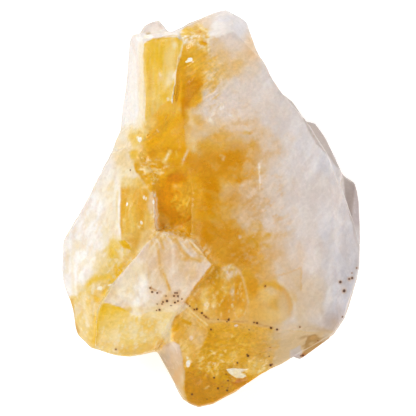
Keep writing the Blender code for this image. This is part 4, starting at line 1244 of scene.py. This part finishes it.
def paint_petal(skin):
    """The golden hollow face below the heart, its pale cap, the crescent and the arch beside it."""
    skin.dabs(PETAL_GROUND)
    petal = skin.outline(PETAL, 2.0, (0.0, 0.8))
    skin.wash(HONEY, petal, 1.0)
    skin.dabs(PETAL_MARKS, petal, drift=(0.0, 1.0))
    skin.wash(BLUSH, skin.outline(PETAL_CAP, 5.0, (0.0, 2.0)), 0.8)
    skin.spots(PETAL_GLINTS)
    skin.streaks(PETAL_STREAKS, petal)
    skin.wash(GOLD, skin.outline(CRESCENT, 4.0, (0.0, 1.0)), 0.85)
    skin.dabs(CRESCENT_MARKS, drift=(0.0, 0.8))
    skin.strokes(CRESCENT_LINES)
    arch = skin.outline(ARCH, 5.0, (0.0, 2.0))
    skin.wash(HONEY, arch, 0.32)
    skin.dabs(ARCH_MARKS, arch, drift=(0.0, 1.0))
    skin.strokes(ARCH_LINES)
    skin.wash(BEIGE, skin.outline(SMALL_TRIANGLE, 1.4, (0.0, 0.3)), 0.5)
    skin.roughen(skin.oval(*GRITTY_PETAL), 0.045, 0.01)
    skin.blunt(skin.oval(*DULL_ARCH), 0.3)


POINT_STRIP_MARKS = [
    (ROSE, (169, 352), (8, 11), 0, 0.6), (PEARL, (173, 348), (5, 5), 0, 0.4),
    (PEACH, (180, 384), (8, 20), -10, 0.6), (TOFFEE, (176, 380), (4, 16), -25, 0.4),
    (PEARL, (186, 405), (3, 3), 0, 0.4), (HONEY, (187, 392), (2.4, 14), -5, 0.5),
]
AMBER_FACE_MARKS = [
    (PEACH, (198, 338), (8, 12), 30, 0.65), (STRAW, (186, 350), (6, 10), 10, 0.5),
    (SAFFRON, (176, 328), (4, 4), 0, 0.9), (GOLD, (176, 320), (4, 5), 0, 0.4),
    (PEACH, (188, 316), (10, 5), -40, 0.5), (STRAW, (187, 358), (4, 6), 0, 0.6),
    (BUTTER, (181, 352), (2, 8), 0, 0.4), (HONEY, (195, 358), (3, 7), 30, 0.5),
]
AMBER_FACE_STREAKS = [(STRAW, (6, 2.4), 60, 86, 0.35, 0.45), (GOLD, (6, 2.4), 40, 87, 0.40, 0.4)]
AMBER_FACE_LINES = [
    (OLD_GOLD, [(183, 321), (190, 324)], 3.0, 0.85), (OLD_GOLD, [(175, 329), (178, 325)], 3.0, 0.6),
    (BUTTER, LIGHT_LINE_ABOVE_POINT, 1.6, 0.55), (BUTTER, SECOND_LIGHT_LINE, 1.1, 0.35),
    (TOFFEE, [(191, 308), (209, 323)], 1.0, 0.5),
]
GOLD_FACE_MARKS = [
    (HONEY, (240, 327), (30, 4), -3, 0.6), (GOLD, (232, 338), (24, 9), 0, 0.5),
    (OLD_GOLD, (209, 340), (8, 10), 30, 0.6), (OLD_GOLD, (206, 352), (8, 8), 0, 0.35),
    (TOFFEE, (262, 346), (10, 14), 0, 0.5), (GOLD, (256, 348), (9, 5), 0, 0.4),
    (STRAW, (254, 366), (12, 7), 30, 0.6), (STRAW, (232, 357), (10, 5), 10, 0.35),
    (HONEY, (246, 354), (9, 4), 0, 0.4),
]
POINT_GLINTS = [
    (WHITE, (188, 364), (2.2, 3.6), -10, 0.95), (WHITE, (187, 358), (1.3, 1.5), 0, 0.7),
    (BUTTER, (190.5, 362), (1.2, 1.8), 0, 0.6), (ROSE, (191.5, 338), (1.8, 2.4), 40, 0.7),
    (BUTTER, (200, 361), (3.0, 1.0), 30, 0.65), (ROSE, (236, 325.5), (2.0, 1.3), 0, 0.9),
    (BUTTER, (213.5, 354), (2.2, 1.2), 20, 0.6), (PEACH, (207, 387.5), (3.4, 0.9), 30, 0.75),
    (STRAW, (209, 368), (2.0, 1.4), 60, 0.7), (BUTTER, (225, 351), (1.6, 1.0), 0, 0.5),
    (CREAM, (221, 361), (1.4, 1.0), 0, 0.5), (BUTTER, (250, 361), (2.6, 1.0), 20, 0.5),
    (STRAW, (232, 336), (1.6, 1.4), 0, 0.6), (CREAM, (275, 358), (3.0, 1.4), 40, 0.4),
]
TEARDROP_GLINTS = [(BUTTER, (243.5, 374.3), (2.6, 0.8), -10, 0.8), (STRAW, (245, 370.6), (2.4, 0.6), 0, 0.5)]


def paint_point(skin):
    """The lower point: a pale strip, an amber face and the big golden face with its white gleam."""
    strip = skin.outline(STRIP_OF_POINT, 2.0)
    skin.wash(BEIGE, strip, 0.9)
    skin.dabs(POINT_STRIP_MARKS, strip)
    amber = skin.outline(AMBER_FACE_OF_POINT, 2.0, (0.0, 0.8))
    skin.wash(HONEY, amber, 1.0)
    skin.dabs(AMBER_FACE_MARKS, amber, drift=(0.0, 1.0))
    skin.streaks(AMBER_FACE_STREAKS, amber)
    skin.strokes(AMBER_FACE_LINES)
    gold = skin.outline(GOLD_FACE_OF_POINT, 2.0, (0.0, 0.8))
    skin.wash(GOLD, gold, 1.0)
    skin.dabs(GOLD_FACE_MARKS, gold)
    skin.wash(BEIGE, gold * smooth(*POINT_BEIGE_FADE, skin.drifted((0.0, 3.0))[0]), 0.9)
    skin.wash(FAWN, gold * smooth(*POINT_FAWN_FADE, skin.column), 0.6)
    skin.wash(OLD_GOLD, gold * skin.oval(*POINT_SHADE), 1.0)
    skin.wash(DARK_GOLD, gold * skin.oval(*POINT_DEEP_SHADE), 0.8)
    skin.wash(OLD_GOLD, gold * skin.oval(*POINT_EDGE_SHADE), 0.9)
    paint_sparkle(skin, gold)
    skin.spots(POINT_GLINTS)
    # painted highlight: the white teardrop and its glints
    skin.wash(WHITE, skin.outline(TEARDROP, 1.2, (0.0, 0.2)), 1.0)
    skin.spots(TEARDROP_GLINTS)
    skin.roughen(gold * smooth(*GOLD_FADE_OUT, skin.column), 0.10, 0.02)
    skin.roughen(amber, 0.05, 0.02)


LEFT_STREAKS = [
    (STRAW, (4, 1.8), 70, 95, 0.30, 0.5), (CREAM, (3, 1.5), 50, 98, 0.60, 0.5),
    (OLD_GOLD, (6, 2.4), 20, 96, 0.15, 0.6),
]
LOW_STREAKS = [(LEMON, (4, 2.0), 40, 99, 0.25, 0.6), (OLD_GOLD, (4, 2.0), -20, 78, 0.25, 0.5)]
RIGHT_STREAKS = [(BUTTER, (5, 2.0), 50, 89, 0.35, 0.65), (GOLD, (5, 2.4), -20, 85, 0.3, 0.6)]
MIDDLE_STREAKS = [(LEMON, (4, 2.0), 30, 84, 0.45, 0.5), (OLD_GOLD, (7, 2.6), 10, 80, 0.3, 0.4)]
FLAKE_LINES = [
    (BUTTER, [(215, 364), (215.5, 369)], 1.6, 0.7), (STRAW, [(219, 367), (217, 375)], 1.8, 0.6),
    (STRAW, [(212, 371), (214, 377)], 1.8, 0.5), (BUTTER, [(256, 363), (254, 369)], 1.8, 0.5),
    (STRAW, [(196, 352), (199, 360)], 2.0, 0.5), (STRAW, [(207, 358), (211, 355)], 1.8, 0.5),
]
FLAKES = [
    (LEFT_FLAKES, LEFT_STREAKS), (LOW_FLAKES, LOW_STREAKS), (RIGHT_FLAKES, RIGHT_STREAKS),
    (MIDDLE_FLAKES, MIDDLE_STREAKS),
]


def paint_sparkle(skin, gold):
    """The bright and dark flakes inside the golden face."""
    for place, streaks in FLAKES:
        skin.streaks(streaks, gold * skin.oval(*place))
    skin.strokes(FLAKE_LINES, gold, soft=0.7)


STEP_LINES = [(BROWN, [(303, 346), (306, 344)], 2.0, 0.5)]
STEP_MARKS = [
    (BROWN, (303, 337), (5, 1.6), 20, 0.5), (RUST, (304, 355), (2.4, 1.6), 40, 0.5),
    (SAND, (312, 344), (3, 2), 30, 0.6), (MAUVE, (296, 356), (4, 3), 0, 0.4),
    (ASH, (328, 337), (7, 4), 20, 0.5), (TOFFEE, (314, 338), (4, 2), 20, 0.4),
]


def paint_lower_step(skin):
    """The grey and brown broken step at the lower right."""
    skin.wash(BEIGE, skin.oval(*BACK_OF_STEP), 0.8)
    skin.blunt(skin.oval(*DULL_STEP) * smooth(-0.1, 0.0, skin.up), 0.5)
    blots = smooth(-0.05, 0.5, mist(skin.points, (2.2, 2.2, 1.6), 38)) * smooth(-0.3, 0.0, skin.up)
    sides = np.maximum(smooth(0.0, 0.15, skin.up), blots)
    skin.wash(SAND, sides * skin.outline(LOWER_STEP, 3.0), 0.6, True)
    skin.wash(SAND, sides * skin.outline(SANDY_SIDE_OF_STEP, 3.0), 0.9, True)
    skin.wash(BROWN, sides * skin.outline(BROWN_SIDE_OF_STEP, 2.0, (0.0, 1.2)), 0.75, True)
    skin.wash(ASH, sides * skin.outline(GREY_SIDE_OF_STEP, 2.0), 0.85, True)
    skin.strokes(STEP_LINES)
    skin.dabs(STEP_MARKS, drift=(0.0, 0.8))


WIDE_DRIFTS = [
    (MAUVE, (353, 206), (12, 20), 0, 0.5), (SLATE, (354, 250), (16, 40), 0, 0.42),
    (SLATE, (352, 296), (14, 26), 0, 0.5), (SLATE, (330, 268), (14, 44), 0, 0.22),
    (SLATE, (331, 170), (9, 18), 20, 0.25), (MAUVE, (334, 328), (16, 14), 20, 0.6),
    (SAND, (330, 334), (14, 8), 20, 0.35), (SAND, (308, 302), (18, 22), 0, 0.42),
    (SAND, (290, 342), (18, 16), 20, 0.85), (BROWN, (270, 352), (14, 12), 20, 0.2),
    (TOFFEE, (288, 290), (16, 20), 0, 0.2), (BROWN, (312, 348), (12, 9), 30, 0.45),
    (BEIGE, (252, 330), (12, 7), 0, 0.22), (BUTTER, (210, 311), (10, 9), 0, 0.25),
    (AMBER, (209, 250), (10, 8), 30, 0.35), (HONEY, (190, 110), (10, 10), 0, 0.3),
    (STRAW, (150, 310), (14, 9), 0, 0.3), (STRAW, (150, 350), (14, 8), 0, 0.3),
    (HONEY, (272, 350), (10, 9), 30, 0.3), (STRAW, (148, 80), (8, 30), 0, 0.2),
    (SAFFRON, (150, 172), (12, 10), 0, 0.2), (HONEY, (170, 232), (12, 8), 0, 0.3),
    (TOFFEE, (330, 330), (14, 10), 30, 0.16), (MAUVE, (338, 322), (12, 14), 0, 0.25),
    (PEACH, (152, 290), (12, 10), 0, 0.18), (TOFFEE, (176, 250), (24, 12), 0, 0.36),
    (TOFFEE, (190, 272), (18, 14), 0, 0.26), (TOFFEE, (152, 262), (14, 18), 0, 0.2),
    (STRAW, (128, 272), (14, 12), 30, 0.4), (STRAW, (108, 291), (11, 12), 0, 0.6),
    (BUTTER, (130, 290), (11, 12), 0, 0.4), (STRAW, (132, 311), (16, 5), 0, 0.5),
    (LEMON, (110, 311), (10, 7), 0, 0.4), (STRAW, (88, 306), (12, 20), 0, 0.7),
    (BUTTER, (111, 222), (9, 26), 0, 0.65), (BUTTER, (108, 192), (9, 12), 0, 0.35),
    (STRAW, (130, 230), (12, 10), 0, 0.3), (HONEY, (150, 232), (8, 10), 0, 0.35),
    (GOLD, (187, 230), (8, 6), 20, 0.6), (SAFFRON, (152, 170), (14, 10), 0, 0.4),
    (STRAW, (130, 150), (13, 14), 0, 0.5), (HONEY, (132, 152), (12, 12), 0, 0.15),
    (STRAW, (130, 172), (12, 12), 0, 0.5), (SAFFRON, (190, 150), (11, 10), 0, 0.35),
    (HONEY, (192, 130), (10, 12), 0, 0.35), (HONEY, (211, 130), (12, 11), 0, 0.35),
    (STRAW, (166, 108), (11, 8), 0, 0.4), (PEACH, (250, 50), (12, 13), 0, 0.3),
    (TOFFEE, (250, 48), (7, 12), 20, 0.3), (SLATE, (236, 24), (12, 12), 0, 0.16),
    (STRAW, (190, 48), (12, 9), 0, 0.35), (LEMON, (190, 68), (10, 8), 0, 0.35),
    (STRAW, (211, 70), (10, 13), 0, 0.35),
]
HONEY_DRIFTS = [
    (TOFFEE, (222, 160), (26, 18), 0, 0.22), (AMBER, (230, 210), (12, 12), 0, 0.3),
    (TOFFEE, (226, 238), (24, 22), 0, 0.24), (TOFFEE, (248, 262), (16, 16), 0, 0.26),
    (TOFFEE, (172, 370), (12, 22), 0, 0.5), (OLD_GOLD, (192, 384), (9, 18), 0, 0.4),
    (GOLD, (230, 374), (20, 12), 20, 0.3), (GOLD, (232, 390), (18, 9), 30, 0.35),
    (OLD_GOLD, (212, 392), (22, 14), 20, 0.65), (HONEY, (152, 348), (12, 8), 0, 0.15),
]


def paint_drifts(skin):
    """Wide, weak drifts of colour, which tie the marks together, and painted shade on the brightly lit lower
    point.
    """
    skin.glazes(WIDE_DRIFTS)
    skin.glazes(HONEY_DRIFTS)
    skin.tone(skin.oval(*TONE_OF_HEART), -0.02)
    # painted shade: the lower point gets more light from the front softbox and the floor than the paint
    # allows for
    skin.tone(skin.oval(*SHADE_ON_POINT), -0.03)


def paint_cracks(skin):
    """The dotted crack above the point, and the dark grains."""
    skin.wash(RUST, skin.line(CRACK, 1.5, 0.9, (0.0, 0.7)) * skin.fibres((5, 5), 0, 96, 0.0), 0.55)
    skin.wash(RUST, skin.line(CRACK_TAIL, 1.3, 0.9, (0.0, 0.6)) * skin.fibres((7, 7), 0, 97, 0.0), 0.35)
    for column, row, width in all_specks():
        far = np.hypot(skin.column - column, skin.row - row)
        halo = smooth(width * 1.5, width * 0.5, far)
        grain = smooth(width * 0.72, width * 0.36, far + 0.25 * skin.fine[0])
        skin.wash(RUST, halo, 0.3)
        skin.wash(SPECK, grain, 0.85)


def all_specks():
    """Every dark grain."""
    return [*SPECKS_IN_PALE_FACE, *SPECKS_ON_CRACK, *SPECKS_ON_POINT, *SPECKS_ON_THE_RIGHT]


def paint_stone(skin):
    """Paints the whole stone, from its wide grounds to its finest marks."""
    paint_body(skin)
    paint_sides(skin)
    paint_milky_side(skin)
    paint_ledges(skin)
    paint_golden_ground(skin)
    paint_heart(skin)
    paint_knob(skin)
    paint_prism(skin)
    paint_valley(skin)
    paint_shoulder(skin)
    paint_pit(skin)
    paint_lobe(skin)
    paint_lower_left(skin)
    paint_pale_face(skin)
    paint_petal(skin)
    paint_point(skin)
    paint_drifts(skin)
    paint_lower_step(skin)
    paint_cracks(skin)


def even_grain(solid):
    """An even, fine-grained copy of a solid, with its faces still flat and its ridges still sharp."""
    mesh = solid.data.copy()
    shape = bmesh.new()
    shape.from_mesh(mesh)
    bmesh.ops.remove_doubles(shape, verts=shape.verts, dist=1e-6)
    shape.to_mesh(mesh)
    shape.free()
    blank = bpy.data.objects.new("stone blank", mesh)
    bpy.context.scene.collection.objects.link(blank)
    remesh = blank.modifiers.new("even grain", "REMESH")
    remesh.mode = "VOXEL"
    remesh.voxel_size = GRAIN * MM
    return baked(blank)


def thin_underside(mesh):
    """Broken grain and fewer points where the stone faces down, which leaves more for its face."""
    blank = bpy.data.objects.new("fine blank", mesh)
    bpy.context.scene.collection.objects.link(blank)
    underside = blank.vertex_groups.new(name="underside")
    points = read(mesh.vertices, "co") / MM
    normals = read(mesh.vertex_normals, "vector")
    underside.add([int(i) for i in np.nonzero(normals[:, 2] < 0.02)[0]], 1.0, "REPLACE")
    rise = dents(points)
    for height, size, seed in FACETS_BELOW:
        rise += height * facets(points, size, seed)
    rise *= smooth(0.0, -0.12, normals[:, 2]) * smooth(0.1, 1.2, points[:, 2])
    mesh.vertices.foreach_set("co", ((points + normals * rise[:, None]) * MM).ravel())
    mesh.update()
    thin = blank.modifiers.new("thin underside", "DECIMATE")
    thin.ratio = POINTS_KEPT
    thin.vertex_group = underside.name
    thin.vertex_group_factor = 1.0
    return baked(blank)


def baked(blank):
    """The blank's mesh with its modifiers applied; the blank itself goes."""
    layers = bpy.context.evaluated_depsgraph_get()
    mesh = bpy.data.meshes.new_from_object(blank.evaluated_get(layers))
    bpy.data.objects.remove(blank)
    return mesh


def read(items, name, width=3):
    """One row of numbers for each item."""
    values = np.empty(len(items) * width)
    items.foreach_get(name, values)
    return values.reshape(-1, width)


def refine_marks(mesh):
    """Halves the mesh under each fine line, speck and gleam, so that its edge stays crisp."""
    shape = bmesh.new()
    shape.from_mesh(mesh)
    every_way = {"use_axis_x": True, "use_axis_y": True, "use_axis_z": True}
    bmesh.ops.smooth_vert(shape, verts=shape.verts, factor=0.5, **every_way)
    for fine in (False, True):
        points = np.array([vert.co for vert in shape.verts]) / MM
        normals = np.array([vert.normal for vert in shape.verts])
        skin = Skin(points, normals)
        close = marked(skin, fine) & (normals[:, 2] > 0.1)
        shape.verts.ensure_lookup_table()
        edges = [edge for edge in shape.edges if close[edge.verts[0].index] and close[edge.verts[1].index]]
        bmesh.ops.subdivide_edges(shape, edges=edges, cuts=1, use_grid_fill=True)
        shape.verts.index_update()
        shape.normal_update()
    bmesh.ops.triangulate(shape, faces=shape.faces)
    shape.to_mesh(mesh)
    shape.free()


def marked(skin, fine):
    """The points near a speck or a gleam, and, unless fine, near a crisp line."""
    close = np.zeros(len(skin.column), dtype=bool)
    spare = CLOSE_TO_SPECK if fine else BESIDE_SPECK
    for column, row, width in [*all_specks(), *GLEAMS]:
        far = np.hypot(skin.column - column, skin.row - row)
        close |= far < width * 1.1 + spare
    if not fine:
        for path in CRISP_LINES:
            for start, end in zip(path, path[1:]):
                close |= distance(skin.column, skin.row, start, end) < BESIDE_LINE
    return close


def ridge_strength(mesh, normals):
    """How sharply the surface bends at each point: 0 on a flat face, 1 on a crisp ridge."""
    ends = read(mesh.edges, "vertices", 2).astype(int)
    spread = normals.copy()
    count = np.ones(len(normals))
    np.add.at(spread, ends[:, 0], normals[ends[:, 1]])
    np.add.at(spread, ends[:, 1], normals[ends[:, 0]])
    np.add.at(count, ends[:, 0], 1.0)
    np.add.at(count, ends[:, 1], 1.0)
    bend = 1.0 - np.linalg.norm(spread, axis=1) / count
    return smooth(0.004, 0.05, bend)


def worn(mesh, points, rounds):
    """The points once the ridges are worn round: each moves towards its neighbours, again and again."""
    ends = read(mesh.edges, "vertices", 2).astype(int)
    count = np.bincount(ends.ravel(), minlength=len(points))
    points = points.copy()
    for _ in range(rounds):
        for axis in range(3):
            along = points[:, axis]
            total = np.bincount(ends[:, 0], along[ends[:, 1]], len(points))
            total += np.bincount(ends[:, 1], along[ends[:, 0]], len(points))
            points[:, axis] += 0.5 * (total / count - along)
    return points


def wear(mesh, points, where, rounds):
    """Moves the points here to where this much wear takes them."""
    points += (worn(mesh, points, rounds) - points) * where[:, None]


def wear_edges(mesh, skin, points, main_face):
    """Wears the ridges round on the main face, on the softer edges and in the pit's corner."""
    wear(mesh, points, main_face, ROUNDS_ON_MAIN_FACE)
    for path, width, soft, rounds in WORN_EDGES:
        wear(mesh, points, skin.line(path, width, soft) * skin.seen, rounds)
    corner = skin.line(PIT_CORNER, 15.0, 0.6) * smooth(-0.2, 0.0, skin.up)
    wear(mesh, points, corner, ROUNDS_IN_PIT_CORNER)


def broken_relief(skin, points, ridge):
    """How far each point rises or sinks: dents, chipped ridges, ripples, a hollow and broken facets."""
    rise = dents(points) + PIMPLE_HEIGHT * mist(points, PIMPLE_SIZE, 102)
    rise -= ridge * CHIP_DEPTH * smooth(-0.1, 0.7, mist(points, CHIP_SIZE, 103))
    for shell in RIPPLES:
        rise -= ripples(skin, *shell)
    rise -= FIBRE_DEPTH * skin.oval(*FAN_GROOVES) * skin.fibres((16, 2.6), 36, 63, 0.2)
    rise -= HOLLOW_DEPTH * skin.oval(*HOLLOW_UNDER_TEARDROP)
    sugar = np.max([share * skin.oval(at, reach) for at, reach, share in SUGARY_PLACES], axis=0)
    for height, size, seed, share in FACETS_ON_FACE:
        rise += height * facets(points, size, seed) * (share + (1.0 - share) * sugar)
    return rise * smooth(-0.12, 0.0, skin.up)


def dents(points):
    """Wide and shallow dents."""
    return DENT_HEIGHT * mist(points, DENT_SIZE, 101)


def carve(mesh):
    """Gives the flat faces the dents and broken grain of a real fracture; returns the shape without them."""
    points = read(mesh.vertices, "co") / MM
    normals = read(mesh.vertex_normals, "vector")
    skin = Skin(points, normals)
    main_face = skin.outline(MAIN_FACE, 16.0) * smooth(0.4, 0.7, skin.up)
    ridge = ridge_strength(mesh, normals) * (1.0 - main_face)
    wear_edges(mesh, skin, points, main_face)
    carved = points + normals * broken_relief(skin, points, ridge)[:, None]
    low, high = np.array(CAD_BOX) / MM
    mesh.vertices.foreach_set("co", (np.clip(carved, low, high) * MM).ravel())
    mesh.update()
    return points


def light_stone(skin, mesh, points):
    """Works out which way each place of the broad shape faces, and how deep in a fold it lies."""
    broad = mesh.copy()
    broad.vertices.foreach_set("co", (worn(mesh, points, ROUNDS_FOR_LIGHT) * MM).ravel())
    broad.update()
    normals = read(broad.vertex_normals, "vector")
    bpy.data.meshes.remove(broad)
    depth = np.sum((worn(mesh, points, ROUNDS_FOR_FOLDS) - points) * normals, axis=1)
    skin.turn_to_light(normals, depth)


def ripples(skin, centre, middle, reach, step, depth):
    """The curved steps of a shell-shaped break, which spread from centre."""
    far = np.hypot(skin.column - centre[0], skin.row - centre[1]) + 1.5 * skin.fine[0]
    wave = 0.5 + 0.5 * np.cos(far / step * 2.0 * math.pi)
    return depth * wave * skin.oval(middle, reach)


def facets(points, size, seed):
    """Small flat facets that meet at creases, between about -1 and 1.

    Each point lies between four heights that are scattered at the corners of a leaning lattice.
    """
    bend = np.stack([mist(points, size * 2.5, seed + turn, 1) for turn in range(3)], axis=1)
    place = (points + 0.35 * size * bend) @ LEANING_AXES / size
    cell = np.floor(place).astype(np.int64)
    part = place - cell
    order = np.argsort(-part, axis=1)
    steps = np.take_along_axis(part, order, axis=1)
    steps = np.concatenate([np.ones((len(part), 1)), steps, np.zeros((len(part), 1))], axis=1)
    total = np.zeros(len(points))
    everyone = np.arange(len(points))
    for turn in range(4):
        total += (steps[:, turn] - steps[:, turn + 1]) * scatter(cell, seed)
        if turn < 3:
            cell[everyone, order[:, turn]] += 1
    return total


def make_stone():
    """The stone: a fine-grained copy of the solid, painted and then carved."""
    mesh = thin_underside(even_grain(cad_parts["citrine"]))
    mesh.name = "citrine_stone"
    refine_marks(mesh)
    skin = Skin(read(mesh.vertices, "co") / MM, read(mesh.vertex_normals, "vector"))
    paint_stone(skin)
    light_stone(skin, mesh, carve(mesh))
    keep_colours(mesh, skin)
    stone = bpy.data.objects.new("citrine_stone", mesh)
    bpy.context.scene.collection.objects.link(stone)
    for face in mesh.polygons:
        face.use_smooth = True
    mesh.materials.clear()
    mesh.materials.append(citrine())
    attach(stone, "root")
    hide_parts("citrine")


def keep_colours(mesh, skin):
    """Stores the paint on the mesh: the colour, with its painted shade and light, as tint, and how clear,
    gritty, stranded and dull it is.
    """
    tint = mesh.attributes.new("tint", "FLOAT_COLOR", "POINT")
    colours = np.ones((len(mesh.vertices), 4))
    colours[:, :3] = skin.paint_against_light()
    tint.data.foreach_set("color", colours.ravel())
    amounts = {"clarity": skin.clarity(), "grit": skin.grit, "strands": skin.strands, "dull": skin.dull}
    for name, amount in amounts.items():
        mesh.attributes.new(name, "FLOAT", "POINT").data.foreach_set("value", amount)


def shader_of(material, values):
    """The material's shader, with these values."""
    material.use_nodes = True
    shader = material.node_tree.nodes["Principled BSDF"]
    for name, value in values.items():
        shader.inputs[name].default_value = value
    return shader


def citrine():
    """Milky to honey quartz: painted body colour, fine mottling, glassy faces with a broken grain."""
    material = bpy.data.materials.new("citrine")
    shader = shader_of(material, QUARTZ)
    nodes, links = material.node_tree.nodes, material.node_tree.links
    place = nodes.new("ShaderNodeTexCoord").outputs["Object"]
    links.new(painted(nodes, "clarity"), shader.inputs["Transmission Weight"])
    links.new(coloured(nodes, links, place), shader.inputs["Base Color"])
    links.new(dulled(nodes, links, place), shader.inputs["Roughness"])
    links.new(splintered(nodes, links, place), shader.inputs["Normal"])
    inside = nodes.new("ShaderNodeVolumeAbsorption")
    inside.inputs["Color"].default_value = HONEY_INSIDE
    inside.inputs["Density"].default_value = HONEY_DENSITY
    links.new(inside.outputs["Volume"], nodes["Material Output"].inputs["Volume"])
    return material


def dulled(nodes, links, place):
    """Gloss that is worn in patches, and lost where the stone is painted dull."""
    wear_pattern = grain_noise(nodes, links, place, WEAR_SCALE, 5.0)
    rough = nodes.new("ShaderNodeMath")
    links.new(ranged(nodes, links, wear_pattern, 0.35, 0.7, SMOOTHEST, ROUGHEST), rough.inputs[0])
    links.new(painted(nodes, "dull"), rough.inputs[1])
    return rough.outputs["Value"]


def splintered(nodes, links, place):
    """A fine bump of splinters and grains."""
    splinters = nodes.new("ShaderNodeTexVoronoi")
    splinters.inputs["Scale"].default_value = SPLINTER_SCALE
    links.new(place, splinters.inputs["Vector"])
    height = nodes.new("ShaderNodeMath")
    height.operation = "MULTIPLY_ADD"
    links.new(splinters.outputs["Distance"], height.inputs[0])
    height.inputs[1].default_value = SPLINTER_HEIGHT
    links.new(grain_noise(nodes, links, place, FINE_SCALE, 3.0), height.inputs[2])
    bump = nodes.new("ShaderNodeBump")
    bump.inputs["Strength"].default_value = BUMP_STRENGTH
    bump.inputs["Distance"].default_value = BUMP_HEIGHT
    links.new(height.outputs["Value"], bump.inputs["Height"])
    return bump.outputs["Normal"]


def painted(nodes, name, kind="Fac"):
    """What is stored on the mesh under this name, as a number or as a colour."""
    stored = nodes.new("ShaderNodeAttribute")
    stored.attribute_name = name
    return stored.outputs[kind]


def coloured(nodes, links, place):
    """The painted tint, broken up by fine grains and by strands that lean to the right."""
    grains = grain_noise(nodes, links, place, GRAIN_SCALE, 5.0, GRAIN_ROUGHNESS)
    along = nodes.new("ShaderNodeMapping")
    along.vector_type = "TEXTURE"
    along.inputs["Rotation"].default_value = (0.0, 0.0, STRAND_LEAN)
    along.inputs["Scale"].default_value = STRAND_LENGTH
    links.new(place, along.inputs["Vector"])
    strands = grain_noise(nodes, links, along.outputs["Vector"], STRAND_SCALE, 4.0)
    total = mixed_in(nodes, links, grains, "grit", 1.0)
    total = mixed_in(nodes, links, strands, "strands", total)
    scaled = nodes.new("ShaderNodeVectorMath")
    scaled.operation = "SCALE"
    links.new(painted(nodes, "tint", "Color"), scaled.inputs[0])
    links.new(total, scaled.inputs["Scale"])
    return scaled.outputs["Vector"]


def mixed_in(nodes, links, pattern, amount, start):
    """Adds the pattern, from -1 to 1, times the painted amount to start, which is a number or a socket."""
    add = nodes.new("ShaderNodeMath")
    add.operation = "MULTIPLY_ADD"
    links.new(ranged(nodes, links, pattern, 0.32, 0.68, -1.0, 1.0), add.inputs[0])
    links.new(painted(nodes, amount), add.inputs[1])
    if isinstance(start, float):
        add.inputs[2].default_value = start
    else:
        links.new(start, add.inputs[2])
    return add.outputs["Value"]


def grain_noise(nodes, links, place, scale, detail, roughness=0.5):
    """Noise of this many grains to the metre."""
    cloud = nodes.new("ShaderNodeTexNoise")
    cloud.inputs["Scale"].default_value = scale
    cloud.inputs["Detail"].default_value = detail
    cloud.inputs["Roughness"].default_value = roughness
    links.new(place, cloud.inputs["Vector"])
    return cloud.outputs["Fac"]


def ranged(nodes, links, value, low, high, to_low, to_high):
    """The value, moved from one range into another."""
    spread = nodes.new("ShaderNodeMapRange")
    spread.inputs["From Min"].default_value = low
    spread.inputs["From Max"].default_value = high
    spread.inputs["To Min"].default_value = to_low
    spread.inputs["To Max"].default_value = to_high
    links.new(value, spread.inputs["Value"])
    return spread.outputs["Result"]


def make_floor():
    """A plain white floor that runs far beyond what is seen."""
    plate = bmesh.new()
    bmesh.ops.create_grid(plate, x_segments=1, y_segments=1, size=FLOOR_SIZE)
    mesh = bpy.data.meshes.new("floor")
    plate.to_mesh(mesh)
    plate.free()
    floor = bpy.data.objects.new("floor", mesh)
    bpy.context.scene.collection.objects.link(floor)
    material = bpy.data.materials.new("white sweep")
    shader_of(material, WHITE_SWEEP)
    mesh.materials.append(material)


def softbox(name, place, power):
    """A square lamp that faces the stone."""
    light = bpy.data.lights.new(name, "AREA")
    light.shape = "SQUARE"
    light.size = SOFTBOX_SIZE
    light.energy = power
    lamp = bpy.data.objects.new(name, light)
    lamp.location = place
    lamp.rotation_mode = "QUATERNION"
    lamp.rotation_quaternion = (Vector(LIT_SPOT) - Vector(place)).to_track_quat("-Z", "Y")
    bpy.context.scene.collection.objects.link(lamp)


def light_room():
    """A pale tent that is dim straight above, with a softbox in each corner."""
    world = bpy.data.worlds.new("studio")
    world.use_nodes = True
    nodes, links = world.node_tree.nodes, world.node_tree.links
    place = nodes.new("ShaderNodeTexCoord")
    parts = nodes.new("ShaderNodeSeparateXYZ")
    links.new(place.outputs["Generated"], parts.inputs["Vector"])
    opening = ranged(nodes, links, parts.outputs["Z"], 0.25, 0.90, TENT_SIDE, TENT_TOP)
    links.new(opening, nodes["Background"].inputs["Strength"])
    nodes["Background"].inputs["Color"].default_value = (1.0, 1.0, 1.0, 1.0)
    bpy.context.scene.world = world
    for name, place, power in SOFTBOXES:
        softbox(name, place, power)


def place_camera():
    """A camera straight above the stone, which just takes in the whole sheet."""
    camera = bpy.data.cameras.new("camera")
    camera.sensor_width = SENSOR_WIDTH
    camera.lens = camera.sensor_width * EYE_DISTANCE / (SHEET * SQUARE)
    camera.clip_start, camera.clip_end = SEEN_RANGE
    eye = bpy.data.objects.new("camera", camera)
    eye.location = (EYE_X * MM, EYE_Y * MM, EYE_HEIGHT * MM)
    bpy.context.scene.collection.objects.link(eye)
    bpy.context.scene.camera = eye


bpy.context.scene.view_settings.view_transform = "Standard"
make_stone()
make_floor()
light_room()
place_camera()
